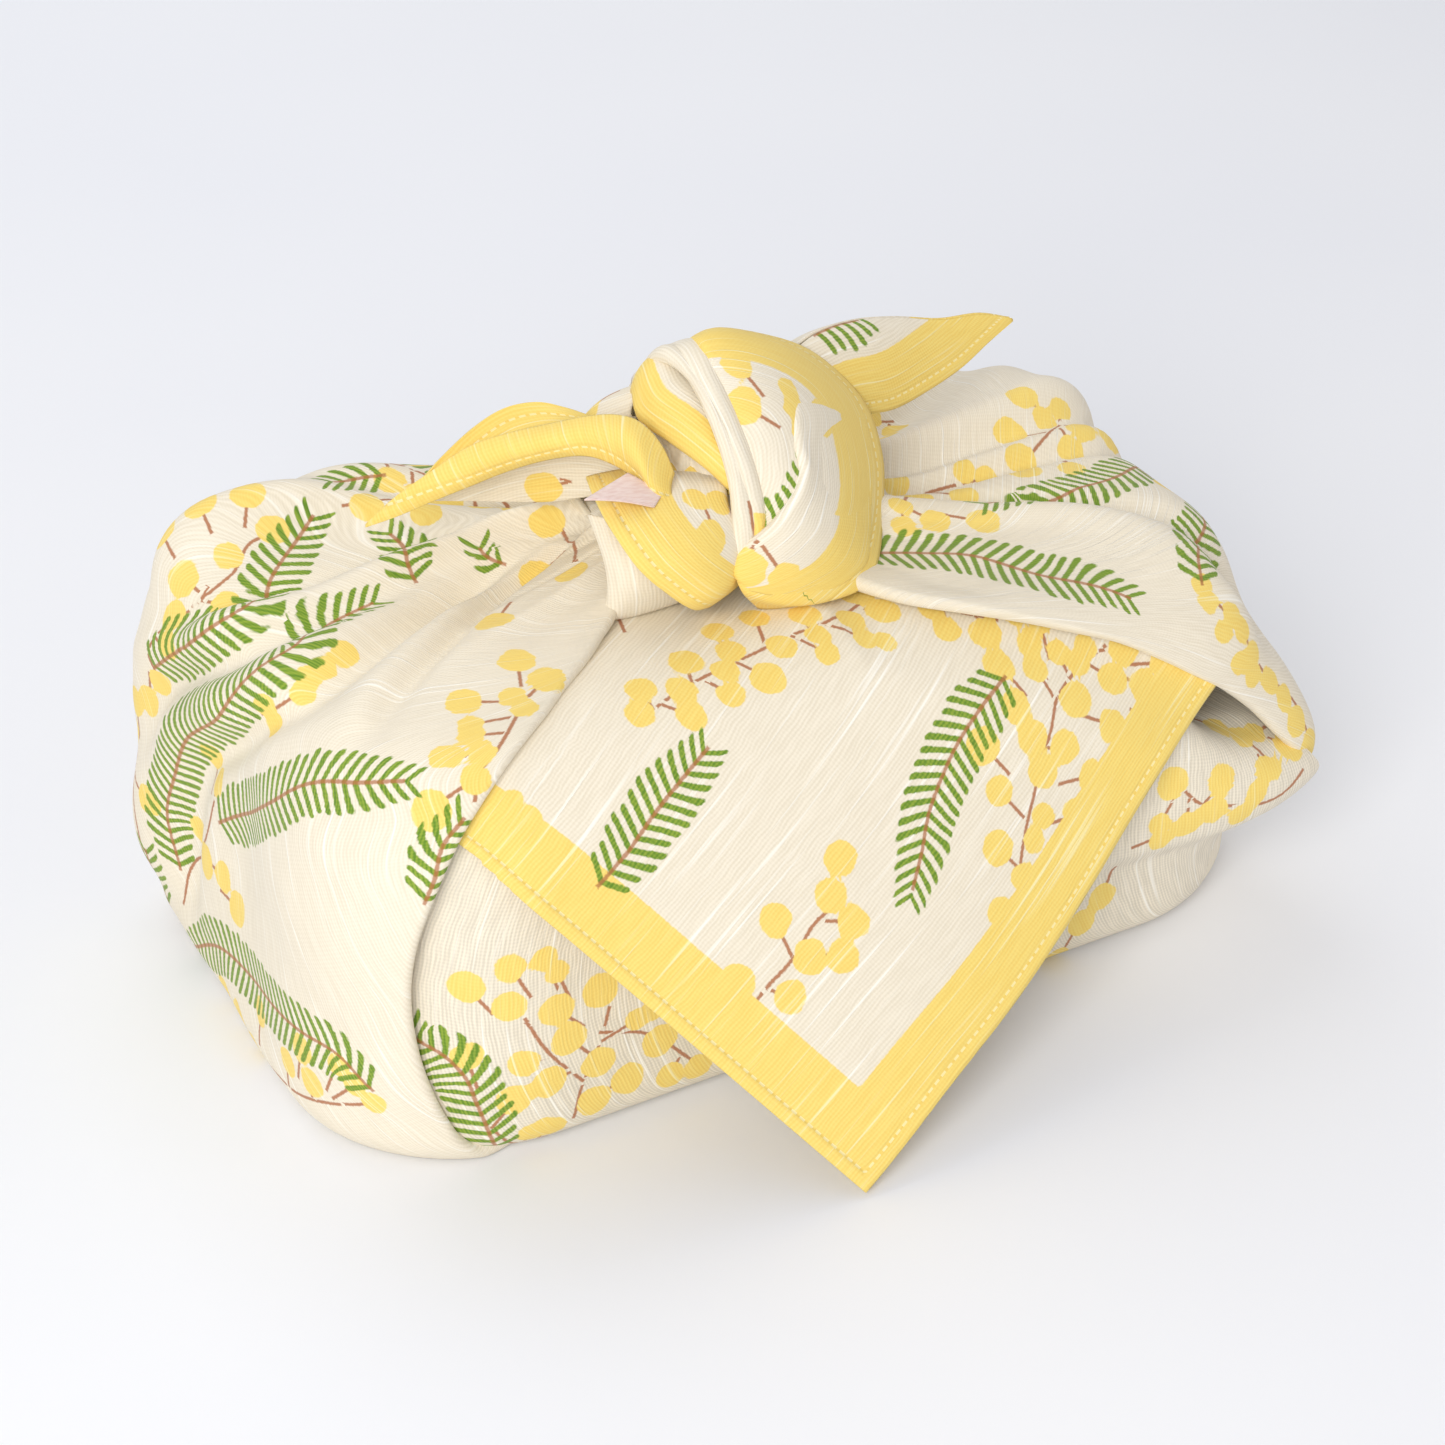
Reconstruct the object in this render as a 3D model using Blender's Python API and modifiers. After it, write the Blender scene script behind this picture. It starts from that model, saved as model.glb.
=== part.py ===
"""A box wrapped in one square of printed cotton and tied on top with a square knot.

The cloth goes round the box on the diagonal. Its back corner lies over the top and hangs
in front as a flap, and its left and right corners are gathered over the ends and tied.
What is inside isn't seen, so the wrapped bundle is one filled solid with the cloth's folds.
X runs along the bundle, -Y is its front and Z is up. The origin is the base's middle point.
"""
import math

import bmesh
import bpy
import numpy as np
from mathutils import Vector

# Driving dimensions of the bundle, in metres
LEFT_END = -0.128
RIGHT_END = 0.120
FRONT_SIDE = -0.076
BACK_SIDE = 0.073
TOP_HEIGHT = 0.100
CORNER_ROUND = {
    "front_left": 0.044,
    "front_right": 0.045,
    "back_right": 0.048,
    "back_left": 0.026,
}
SHEET = 0.002
KNOT_AXIS = (-0.004, -0.010)
KNOT_HEART = (-0.006, -0.012, 0.121)
KNOT_CORE = (0.024, 0.022, 0.024)
LABEL_SIZE = (0.018, 0.008, 0.001)

# Steps of the bundle's loft: round the wings and back, across the front, and floor to neck
WRAP_STEPS = 90
FRONT_STEPS = 26
RISE_STEPS = 29

# From the floor up and in to the neck under the knot. Travel, inset from the widest outline,
# pull towards the knot's axis, height as a share of the top's
PROFILE = (
    (0.00, 0.0070, 0.00, 0.000),
    (0.05, 0.0025, 0.00, 0.035),
    (0.16, 0.0000, 0.00, 0.160),
    (0.34, 0.0000, 0.00, 0.440),
    (0.49, 0.0020, 0.00, 0.690),
    (0.60, 0.0060, 0.00, 0.860),
    (0.68, 0.0150, 0.00, 0.950),
    (0.76, 0.0170, 0.17, 0.985),
    (0.86, 0.0170, 0.44, 1.000),
    (0.94, 0.0170, 0.68, 1.000),
    (1.00, 0.0170, 0.82, 1.000),
)

# The front edge of each wing, from the knot down to the floor: travel, degrees round the knot
LEFT_LIP = (
    (0.00, 214.0),
    (0.10, 212.0),
    (0.28, 209.5),
    (0.45, 210.0),
    (0.58, 211.5),
    (0.68, 209.5),
    (0.77, 204.5),
    (0.88, 190.0),
    (0.94, 174.0),
    (1.00, 156.0),
)
RIGHT_LIP = (
    (0.00, -31.0),
    (0.20, -29.0),
    (0.33, -27.5),
    (0.42, -31.5),
    (0.50, -36.0),
    (0.58, -43.0),
    (0.68, -53.0),
    (0.80, -55.0),
    (0.92, -52.0),
    (1.00, -46.0),
)

# How far each wing's edge stands over the cloth below it: travel, left, right
LIP_STAND = (
    (0.00, 0.0005, 0.0000),
    (0.20, 0.0030, 0.0000),
    (0.34, 0.0050, 0.0020),
    (0.45, 0.0060, 0.0070),
    (0.60, 0.0060, 0.0070),
    (0.80, 0.0040, 0.0045),
    (1.00, 0.0040, 0.0040),
)
LIP_REACH = 0.030

# Creases of the wings. Each path is (travel, degrees). The ridge lies on one side of the trough
CREASES = (
    {
        "name": "left_deep_pleat",
        "path": ((0.16, 160), (0.30, 161), (0.45, 166), (0.58, 177), (0.70, 183),
                 (0.80, 176), (0.90, 162), (1.00, 141)),
        "depth": 0.0048, "width": 0.0078, "ridge": -1,
    },
    {
        "name": "left_upper_pleat",
        "path": ((0.38, 154), (0.50, 157), (0.65, 168), (0.80, 167), (0.90, 154), (1.00, 134)),
        "depth": 0.0034, "width": 0.0066, "ridge": -1,
    },
    {
        "name": "left_knot_gather",
        "path": ((0.62, 158), (0.75, 160), (0.88, 148), (1.00, 125)),
        "depth": 0.0030, "width": 0.0055, "ridge": 1,
    },
    {
        "name": "left_front_gather",
        "path": ((0.70, 196), (0.80, 188), (0.90, 170), (1.00, 146)),
        "depth": 0.0030, "width": 0.0050, "ridge": -1,
    },
    {
        "name": "left_back_corner",
        "path": ((0.20, 141), (0.45, 140), (0.66, 141), (0.85, 130), (1.00, 108)),
        "depth": 0.0030, "width": 0.0080, "ridge": 1,
    },
    {
        "name": "right_back_pleat",
        "path": ((0.55, 8), (0.68, 8), (0.82, 10), (0.92, 14), (1.00, 24)),
        "depth": 0.0050, "width": 0.0065, "ridge": 1,
    },
    {
        "name": "right_middle_pleat",
        "path": ((0.60, 1), (0.72, 2), (0.84, 3), (0.93, 5), (1.00, 8)),
        "depth": 0.0040, "width": 0.0055, "ridge": 1,
    },
    {
        "name": "right_front_pleat",
        "path": ((0.50, -25), (0.64, -23), (0.76, -17), (0.88, -9), (1.00, -6)),
        "depth": 0.0035, "width": 0.0065, "ridge": -1,
    },
    {
        "name": "right_back_corner",
        "path": ((0.10, 36), (0.40, 33), (0.62, 30), (0.80, 29), (1.00, 42)),
        "depth": 0.0045, "width": 0.0100, "ridge": 1,
    },
)

# Broad swellings and hollows of the stuffed cloth: travel, degrees, reach up, reach round, height
SWELLS = (
    (0.80, 190, 0.14, 16, 0.0030),
    (0.45, 190, 0.20, 16, 0.0025),
    (0.40, 176, 0.16, 7, -0.0030),
    (0.78, 140, 0.12, 14, 0.0020),
    (0.30, 100, 0.25, 16, -0.0020),
    (0.80, -25, 0.12, 14, 0.0030),
    (0.40, 12, 0.22, 12, 0.0030),
    (0.50, 60, 0.25, 14, -0.0030),
    (0.08, 188, 0.14, 24, 0.0045),
    (0.70, 140, 0.07, 12, 0.0120),
    (0.70, 100, 0.07, 32, 0.0070),
    (0.69, 22, 0.08, 18, 0.0060),
)
CREASE_SPREAD = 0.098
NECK_RISE = 0.009
NECK_SPREAD = 42.0

# The ear: the fold that stands out at the front right corner, and the pocket in its mouth
EAR_TRAVEL = 0.30
EAR_ANGLE = -27.5
EAR_REACH = 0.021
EAR_SPREAD_OUTSIDE = 9.0
EAR_SPREAD_FRONT = 13.0
EAR_RISE = 0.13
EAR_DROP = 0.10
SHELF_REACH = 0.006
SHELF_EDGE = 0.22
SHELF_ANGLE = -58.0
POCKET_TRAVEL = 0.44
POCKET_ANGLE = -32.5
POCKET_DEPTH = 0.026
POCKET_RISE = 0.075
POCKET_SPREAD = 6.0

# The flap: a square corner of the cloth, with the turn of its two edges from X at its tip
FLAP_TIP_X = -0.035
FLAP_LEFT_TURN = 125.5
FLAP_RIGHT_TURN = 35.5
FLAP_LEFT_EDGE = 0.129
FLAP_RIGHT_EDGE = 0.160
FLAP_STEPS = 14
FLAP_DRAW_IN = 0.38
FLAP_SINK = 0.006
FLAP_FLARE_MIDDLE = -0.020
FLAP_FLARE_WIDTH = 0.130
# Up the flap's middle from its tip: distance along the cloth, out from the front side, height
FLAP_SLOPE = (
    (0.000, 0.0480, 0.0012),
    (0.030, 0.0330, 0.0272),
    (0.060, 0.0180, 0.0532),
    (0.082, 0.0070, 0.0722),
    (0.099, -0.0030, 0.0860),
    (0.112, -0.0125, 0.0948),
    (0.125, -0.0245, 0.0994),
    (0.145, -0.0445, 0.1004),
    (0.190, -0.0895, 0.1006),
)

# Knot and free ends. Each row: x, y, z, width, thickness, bow of the width round the heart
BANDS = {
    "front_loop": (
        (0.004, 0.012, 0.130, 0.024, 0.012, 0.2),
        (-0.001, 0.004, 0.145, 0.024, 0.011, 0.3),
        (0.001, -0.010, 0.150, 0.031, 0.011, 0.5),
        (0.006, -0.022, 0.142, 0.044, 0.011, 0.7),
        (0.008, -0.030, 0.128, 0.052, 0.012, 0.8),
        (0.006, -0.034, 0.113, 0.052, 0.012, 0.8),
        (0.001, -0.029, 0.101, 0.040, 0.011, 0.5),
    ),
    "middle_loop": (
        (-0.020, 0.004, 0.143, 0.015, 0.010, 0.2),
        (-0.024, -0.010, 0.147, 0.018, 0.010, 0.3),
        (-0.023, -0.024, 0.141, 0.020, 0.010, 0.3),
        (-0.021, -0.033, 0.129, 0.020, 0.010, 0.3),
        (-0.018, -0.037, 0.114, 0.018, 0.010, 0.3),
        (-0.012, -0.034, 0.102, 0.014, 0.010, 0.2),
    ),
    "left_loop": (
        (-0.028, -0.010, 0.130, 0.012, 0.008, 0.2),
        (-0.038, -0.018, 0.128, 0.014, 0.007, 0.3),
        (-0.040, -0.029, 0.123, 0.016, 0.007, 0.3),
        (-0.037, -0.037, 0.115, 0.017, 0.007, 0.3),
        (-0.030, -0.040, 0.107, 0.016, 0.008, 0.3),
        (-0.022, -0.034, 0.107, 0.013, 0.009, 0.2),
    ),
    "back_loop": (
        (0.006, 0.000, 0.146, 0.026, 0.011, 0.3),
        (0.010, 0.010, 0.137, 0.034, 0.011, 0.5),
        (0.008, 0.017, 0.122, 0.038, 0.011, 0.6),
        (0.002, 0.014, 0.106, 0.030, 0.011, 0.4),
    ),
    "back_left_loop": (
        (-0.022, -0.004, 0.145, 0.016, 0.010, 0.2),
        (-0.028, 0.006, 0.134, 0.018, 0.010, 0.3),
        (-0.026, 0.012, 0.118, 0.018, 0.010, 0.3),
        (-0.018, 0.010, 0.104, 0.014, 0.010, 0.2),
    ),
    "left_end": (
        (-0.020, -0.020, 0.126, 0.012, 0.0080, 0.0),
        (-0.031, -0.023, 0.135, 0.015, 0.0050, 0.5),
        (-0.044, -0.014, 0.139, 0.019, 0.0034, 1.1),
        (-0.057, -0.003, 0.135, 0.019, 0.0028, 1.1),
        (-0.070, 0.006, 0.125, 0.013, 0.0024, 0.8),
        (-0.0845, 0.015, 0.1145, 0.003, 0.0018, 0.0),
    ),
    "right_end": (
        (0.012, -0.006, 0.134, 0.014, 0.0080, 0.0),
        (0.028, -0.003, 0.135, 0.023, 0.0050, 0.4),
        (0.044, 0.001, 0.131, 0.024, 0.0032, 0.6),
        (0.060, 0.006, 0.126, 0.019, 0.0026, 0.5),
        (0.075, 0.010, 0.124, 0.011, 0.0024, 0.2),
        (0.0885, 0.012, 0.127, 0.002, 0.0018, 0.0),
    ),
}
BAND_STATIONS = 15
BAND_SIDES = 12
FREE_ENDS = ("left_end", "right_end")
END_FACING = (-0.30, -0.62, 0.72)


def material(name, colour, roughness):
    """A plain woven finish: colour is linear RGB."""
    finish = bpy.data.materials.new(name)
    finish.use_nodes = True
    shader = finish.node_tree.nodes["Principled BSDF"]
    shader.inputs["Base Color"].default_value = (*colour, 1.0)
    shader.inputs["Roughness"].default_value = roughness
    shader.inputs["Metallic"].default_value = 0.0
    return finish


def from_table(rows, travel, column):
    """A smooth value between a table's rows, with a flat slope past its ends."""
    knots = np.array([row[0] for row in rows])
    values = np.array([row[column] for row in rows])
    slopes = np.gradient(values, knots)
    at = np.clip(travel, knots[0], knots[-1])
    left = np.clip(np.searchsorted(knots, at, side="right") - 1, 0, len(knots) - 2)
    span = knots[left + 1] - knots[left]
    s = (at - knots[left]) / span
    rising = (1 + 2 * s) * (1 - s) ** 2 * values[left] + s * (1 - s) ** 2 * span * slopes[left]
    falling = s * s * (3 - 2 * s) * values[left + 1] + s * s * (s - 1) * span * slopes[left + 1]
    return rising + falling


def bell(x):
    return np.exp(-x * x)


def soft_step(x):
    """0 below -1, 1 above 1, smooth between."""
    s = np.clip((x + 1) / 2, 0, 1)
    return s * s * (3 - 2 * s)


def outline_distance(x, y):
    """Distance outside the plan outline, a rectangle with its own radius at each corner."""
    middle_x = (LEFT_END + RIGHT_END) / 2
    middle_y = (FRONT_SIDE + BACK_SIDE) / 2
    px = x - middle_x
    py = y - middle_y
    right = np.where(py > 0, CORNER_ROUND["back_right"], CORNER_ROUND["front_right"])
    left = np.where(py > 0, CORNER_ROUND["back_left"], CORNER_ROUND["front_left"])
    radius = np.where(px > 0, right, left)
    qx = np.abs(px) - (RIGHT_END - LEFT_END) / 2 + radius
    qy = np.abs(py) - (BACK_SIDE - FRONT_SIDE) / 2 + radius
    outside = np.hypot(np.maximum(qx, 0), np.maximum(qy, 0))
    return np.minimum(np.maximum(qx, qy), 0) + outside - radius


def outline_reach(angle, inset):
    """How far the inset outline lies from the knot's axis, found by halving."""
    near = np.zeros_like(angle)
    far = np.full_like(angle, RIGHT_END - LEFT_END)
    for _ in range(26):
        middle = (near + far) / 2
        x = KNOT_AXIS[0] + middle * np.cos(angle)
        y = KNOT_AXIS[1] + middle * np.sin(angle)
        outside = outline_distance(x, y) > -inset
        near = np.where(outside, near, middle)
        far = np.where(outside, middle, far)
    return (near + far) / 2


def base_surface(travel, degrees):
    """The stuffed shape without creases: points, their outward directions and their reach."""
    angle = np.radians(degrees)
    inset = from_table(PROFILE, travel, 1)
    pull = from_table(PROFILE, travel, 2)
    height = TOP_HEIGHT * from_table(PROFILE, travel, 3)
    reach = outline_reach(angle, inset) * (1 - pull)
    x = KNOT_AXIS[0] + reach * np.cos(angle)
    y = KNOT_AXIS[1] + reach * np.sin(angle)

    def change(column):
        return from_table(PROFILE, travel + 0.01, column) - from_table(PROFILE, travel - 0.01, column)

    climb = TOP_HEIGHT * change(3)
    inward = change(1) + change(2) * reach / np.maximum(1 - pull, 0.05)
    length = np.hypot(climb, inward) + 1e-9
    out = climb / length
    outward = np.stack([out * np.cos(angle), out * np.sin(angle), inward / length], -1)
    return np.stack([x, y, height], -1), outward, reach


def crease_height(crease, travel, degrees, reach):
    """A narrow trough with a soft ridge beside it, fading in at the ends of its path."""
    path = crease["path"]
    middle = from_table(path, travel, 1)
    width = crease["width"] * (0.4 + reach / CREASE_SPREAD)
    across = np.radians(degrees - middle) * np.maximum(reach, 0.02) / width
    trough = -bell(across / 0.55)
    ridge = 0.75 * bell((across - crease["ridge"] * 1.15) / 0.80)
    first = path[0][0]
    fade = soft_step((travel - first) / 0.06)
    return crease["depth"] * fade * (trough + ridge)


def ear_height(travel, degrees, front):
    """The ear swells gently above its crest and drops sharply below it."""
    spread = EAR_SPREAD_FRONT if front else EAR_SPREAD_OUTSIDE
    across = bell((degrees - EAR_ANGLE) / spread)
    above = bell((travel - EAR_TRAVEL) / EAR_RISE)
    below = bell((travel - EAR_TRAVEL) / EAR_DROP)
    swell = EAR_REACH * across * np.where(travel > EAR_TRAVEL, above, below)
    if not front:
        return swell
    shelf = SHELF_REACH * soft_step((travel - SHELF_EDGE) / 0.025) * soft_step((0.60 - travel) / 0.10)
    shelf = shelf * soft_step((degrees - SHELF_ANGLE) / 5)
    pocket = bell((degrees - POCKET_ANGLE) / POCKET_SPREAD) * bell((travel - POCKET_TRAVEL) / POCKET_RISE)
    return swell + shelf - POCKET_DEPTH * pocket


def bundle_points(travel, degrees, from_lip, front):
    """Points of the wrapped bundle. from_lip is the distance round from the nearest wing edge."""
    points, outward, reach = base_surface(travel, degrees)
    height = ear_height(travel, degrees, front)
    if not front:
        for crease in CREASES:
            height = height + crease_height(crease, travel, degrees, reach)
        for at, middle, rise, spread, swell in SWELLS:
            height = height + swell * bell((travel - at) / rise) * bell((degrees - middle) / spread)
        left_side = degrees > 90
        stand = np.where(left_side, from_table(LIP_STAND, travel, 1), from_table(LIP_STAND, travel, 2))
        height = height + stand * bell(from_lip / LIP_REACH)
        ends = bell((degrees - 175) / NECK_SPREAD) + bell(degrees / NECK_SPREAD)
        height = height + NECK_RISE * ends * soft_step((travel - 0.92) / 0.08)
    height = height * soft_step((travel - 0.02) / 0.03)
    moved = points + outward * height[..., None]
    moved[..., 2] = np.maximum(moved[..., 2], 0.0)
    return moved


def new_object(name, mesh, collection):
    made = bpy.data.objects.new(name, mesh)
    collection.objects.link(made)
    return made


def lofted(name, rings, collection):
    """A closed body through rings of equal length, with a flat or fanned cap at each end."""
    shape = bmesh.new()
    rows = [[shape.verts.new(Vector(point)) for point in ring] for ring in rings]
    count = len(rows[0])
    for lower, upper in zip(rows, rows[1:]):
        for i in range(count):
            j = (i + 1) % count
            shape.faces.new((lower[i], lower[j], upper[j], upper[i]))
    for row in (rows[0], rows[-1]):
        middle = sum((vertex.co for vertex in row), Vector()) / count
        centre = shape.verts.new(middle)
        for i in range(count):
            j = (i + 1) % count
            corners = (centre, row[j], row[i]) if row is rows[0] else (centre, row[i], row[j])
            shape.faces.new(corners)
    bmesh.ops.recalc_face_normals(shape, faces=shape.faces)
    mesh = bpy.data.meshes.new(name)
    shape.to_mesh(mesh)
    shape.free()
    mesh.shade_smooth()
    return new_object(name, mesh, collection)


def bundle(collection):
    """The wrapped box: a loft of rings from the floor to the neck under the knot."""
    rings = []
    for k in range(RISE_STEPS + 1):
        travel = k / RISE_STEPS
        right = float(from_table(RIGHT_LIP, np.array([travel]), 1)[0])
        left = float(from_table(LEFT_LIP, np.array([travel]), 1)[0])
        over = np.linspace(right, left, WRAP_STEPS)
        under = np.linspace(left, right + 360, FRONT_STEPS) - 360
        size = (1 - 0.8 * max(0.0, travel - 0.68) / 0.32) * 0.12
        from_lip = np.radians(np.minimum(over - right, left - over)) * size
        wrap = bundle_points(np.full(WRAP_STEPS, travel), over, from_lip, False)
        front = bundle_points(np.full(FRONT_STEPS, travel), under, np.zeros(FRONT_STEPS), True)
        rings.append(np.concatenate([wrap, front]))
    return lofted("cloth", rings, collection)


def flap_point(along_left, along_right):
    """A place on the flap, from distances along its two edges to a point in space."""
    left_turn = math.radians(FLAP_LEFT_TURN)
    right_turn = math.radians(FLAP_RIGHT_TURN)
    x = FLAP_TIP_X + along_left * math.cos(left_turn) + along_right * math.cos(right_turn)
    up = np.array([along_left * math.sin(left_turn) + along_right * math.sin(right_turn)])
    out = float(from_table(FLAP_SLOPE, up, 1)[0])
    height = float(from_table(FLAP_SLOPE, up, 2)[0])
    if out > 0:
        out = out * float(bell((x - FLAP_FLARE_MIDDLE) / FLAP_FLARE_WIDTH))
    return Vector((x, FRONT_SIDE - out, height))


def flap(collection):
    """The hanging corner: an open grid along its two edges, then its thickness."""
    shape = bmesh.new()
    rows = []
    for i in range(FLAP_STEPS + 1):
        row = []
        for j in range(FLAP_STEPS + 1):
            a = i / FLAP_STEPS
            b = j / FLAP_STEPS
            # The far corner is drawn in, so that the grid ends behind the top's front rim,
            # and the far edges sink into the bundle, under the wings and the knot
            shrink = 1 - FLAP_DRAW_IN * a * b
            place = flap_point(FLAP_LEFT_EDGE * a * shrink, FLAP_RIGHT_EDGE * b * shrink)
            sink = FLAP_SINK * max(a, b) ** 10
            row.append(shape.verts.new(place + Vector((0, 0.8 * sink, -0.6 * sink))))
        rows.append(row)
    for lower, upper in zip(rows, rows[1:]):
        for j in range(FLAP_STEPS):
            shape.faces.new((lower[j], lower[j + 1], upper[j + 1], upper[j]))
    bmesh.ops.recalc_face_normals(shape, faces=shape.faces)
    mesh = bpy.data.meshes.new("flap_sheet")
    shape.to_mesh(mesh)
    shape.free()
    made = new_object("flap_sheet", mesh, collection)
    thickness = made.modifiers.new("cloth thickness", "SOLIDIFY")
    thickness.thickness = SHEET
    thickness.offset = 0.0
    return made


def band(name, rows, collection):
    """A gathered band or free end, lofted through its rows, wide side facing off the heart."""
    steps = np.linspace(0, len(rows) - 1, BAND_STATIONS)
    table = [(float(i), *row) for i, row in enumerate(rows)]
    columns = [from_table(table, steps, c) for c in range(1, 7)]
    path = np.stack(columns[:3], -1)
    tangent = np.gradient(path, axis=0)
    tangent = tangent / np.linalg.norm(tangent, axis=1, keepdims=True)
    rings = []
    for k in range(BAND_STATIONS):
        centre = Vector(path[k])
        forward = Vector(tangent[k])
        if name in FREE_ENDS:
            facing = Vector(END_FACING)
        else:
            facing = centre - Vector(KNOT_HEART)
        across = forward.cross(facing).normalized()
        facing = across.cross(forward).normalized()
        half_width = columns[3][k] / 2
        half_thick = columns[4][k] / 2
        bow = columns[5][k]
        ring = []
        for i in range(BAND_SIDES):
            turn = 2 * math.pi * i / BAND_SIDES
            side = half_width * math.cos(turn)
            lift = half_thick * math.sin(turn) * (0.55 + 0.45 * abs(math.sin(turn)))
            drop = bow * half_width * 0.5 * math.cos(turn) ** 2
            ring.append(centre + across * side + facing * (lift - drop))
        rings.append(ring)
    return lofted(name, rings, collection)


def knot_core(collection):
    """The packed middle of the knot."""
    shape = bmesh.new()
    bmesh.ops.create_icosphere(shape, subdivisions=2, radius=1.0)
    bmesh.ops.scale(shape, vec=KNOT_CORE, verts=shape.verts)
    bmesh.ops.translate(shape, vec=KNOT_HEART, verts=shape.verts)
    mesh = bpy.data.meshes.new("knot_core")
    shape.to_mesh(mesh)
    shape.free()
    return new_object("knot_core", mesh, collection)


def join(body, pieces):
    """Fuses the pieces to the body, because the whole wrap is one piece of cloth."""
    for piece in pieces:
        piece.hide_render = True
        piece.display_type = "WIRE"
        union = body.modifiers.new("join " + piece.name, "BOOLEAN")
        union.operation = "UNION"
        union.solver = "EXACT"
        union.object = piece


def label(collection):
    """The small sewn label, blank, standing out under the left end of the knot."""
    shape = bmesh.new()
    bmesh.ops.create_cube(shape, size=1.0)
    bmesh.ops.scale(shape, vec=LABEL_SIZE, verts=shape.verts)
    mesh = bpy.data.meshes.new("label")
    shape.to_mesh(mesh)
    shape.free()
    made = new_object("label", mesh, collection)
    made.location = (-0.0444, -0.0289, 0.1324)
    made.rotation_euler = (math.radians(62), math.radians(4), math.radians(-30))
    return made


for old in list(bpy.data.objects):
    bpy.data.objects.remove(old, do_unlink=True)
parts = bpy.data.collections.new("furoshiki wrap")
bpy.context.scene.collection.children.link(parts)
helpers = bpy.data.collections.new("shapes joined to the cloth")
bpy.context.scene.collection.children.link(helpers)

cotton = material("printed slub cotton", (0.88, 0.80, 0.62), 0.85)
ribbon = material("woven label ribbon", (0.80, 0.62, 0.58), 0.70)
cloth = bundle(parts)
cloth.data.materials.append(cotton)
joined = [flap(helpers), knot_core(helpers)]
joined += [band(name, rows, helpers) for name, rows in BANDS.items()]
join(cloth, joined)
label(parts).data.materials.append(ribbon)
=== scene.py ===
# %% [markdown]
# # A box wrapped in a printed cotton cloth
#
# This lesson dresses a plain CAD solid as what it stands for: one 70 cm square of thin cotton,
# wrapped round a box on the diagonal. Two corners are tied in a square knot on top and the
# third hangs in front as a flap. First the frame is loaded. It is the fixed solid that says
# where everything is.

# %% Load the frame
import math

import bpy
import numpy as np
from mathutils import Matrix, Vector
from mathutils.kdtree import KDTree


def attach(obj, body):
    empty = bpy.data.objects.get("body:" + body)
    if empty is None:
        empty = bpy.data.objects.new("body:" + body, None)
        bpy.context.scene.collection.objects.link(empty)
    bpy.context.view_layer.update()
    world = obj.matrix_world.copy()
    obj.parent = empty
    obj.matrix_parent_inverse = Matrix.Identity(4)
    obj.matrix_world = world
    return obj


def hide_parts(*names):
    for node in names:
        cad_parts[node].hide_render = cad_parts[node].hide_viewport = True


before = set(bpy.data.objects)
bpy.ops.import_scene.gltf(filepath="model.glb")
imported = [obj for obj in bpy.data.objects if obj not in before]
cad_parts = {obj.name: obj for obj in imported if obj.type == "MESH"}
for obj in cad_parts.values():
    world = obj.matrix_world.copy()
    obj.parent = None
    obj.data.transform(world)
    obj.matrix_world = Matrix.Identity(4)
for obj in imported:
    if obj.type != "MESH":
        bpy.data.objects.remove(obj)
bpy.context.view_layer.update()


# %% [markdown]
# ## The camera
#
# A picture of a product is usually taken with a longer lens from a little above, so that
# upright edges stay nearly parallel. The camera stands on a sphere round the wrap: an azimuth,
# an elevation and a distance place it, and it looks at one point inside the wrap.

# %% Camera
CAMERA_AZIMUTH = -30.0
CAMERA_ELEVATION = 32.0
CAMERA_DISTANCE = 0.830
CAMERA_AIM = Vector((0.0, 0.0, 0.045))
CAMERA_LENS = 85.0
SENSOR_WIDTH = 36.0

azimuth = math.radians(CAMERA_AZIMUTH)
elevation = math.radians(CAMERA_ELEVATION)
towards_camera = Vector((
    math.sin(azimuth) * math.cos(elevation),
    -math.cos(azimuth) * math.cos(elevation),
    math.sin(elevation),
))
camera = bpy.data.objects.new("camera", bpy.data.cameras.new("camera"))
bpy.context.scene.collection.objects.link(camera)
camera.location = CAMERA_AIM + CAMERA_DISTANCE * towards_camera
camera.rotation_euler = (-towards_camera).to_track_quat("-Z", "Y").to_euler()
camera.data.lens = CAMERA_LENS
camera.data.sensor_width = SENSOR_WIDTH
camera.data.clip_start = 0.01
bpy.context.scene.camera = camera
bpy.context.scene.view_settings.view_transform = "Standard"
print("camera at", [round(x, 3) for x in camera.location])


# %% [markdown]
# ## Numbers that draw cloth
#
# Cloth has no straight runs, so nearly every value here changes smoothly from place to place.
# Three small functions do that: one reads a smooth curve through a short table, one is a bell
# for bumps and folds, and one is a soft step for fading things in and out.

# %% Smooth values
def from_table(rows, travel, column):
    """A smooth value between a table's rows, held past its ends."""
    knots = np.array([row[0] for row in rows], float)
    values = np.array([row[column] for row in rows], float)
    slopes = np.gradient(values, knots)
    at = np.clip(travel, knots[0], knots[-1])
    left = np.clip(np.searchsorted(knots, at, side="right") - 1, 0, len(knots) - 2)
    span = knots[left + 1] - knots[left]
    s = (at - knots[left]) / span
    rising = (1 + 2 * s) * (1 - s) ** 2 * values[left] + s * (1 - s) ** 2 * span * slopes[left]
    falling = s * s * (3 - 2 * s) * values[left + 1] + s * s * (s - 1) * span * slopes[left + 1]
    return rising + falling


def bell(x):
    return np.exp(-x * x)


def soft_step(x):
    """0 below -1, 1 above 1, smooth between."""
    s = np.clip((x + 1) / 2, 0, 1)
    return s * s * (3 - 2 * s)


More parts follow.
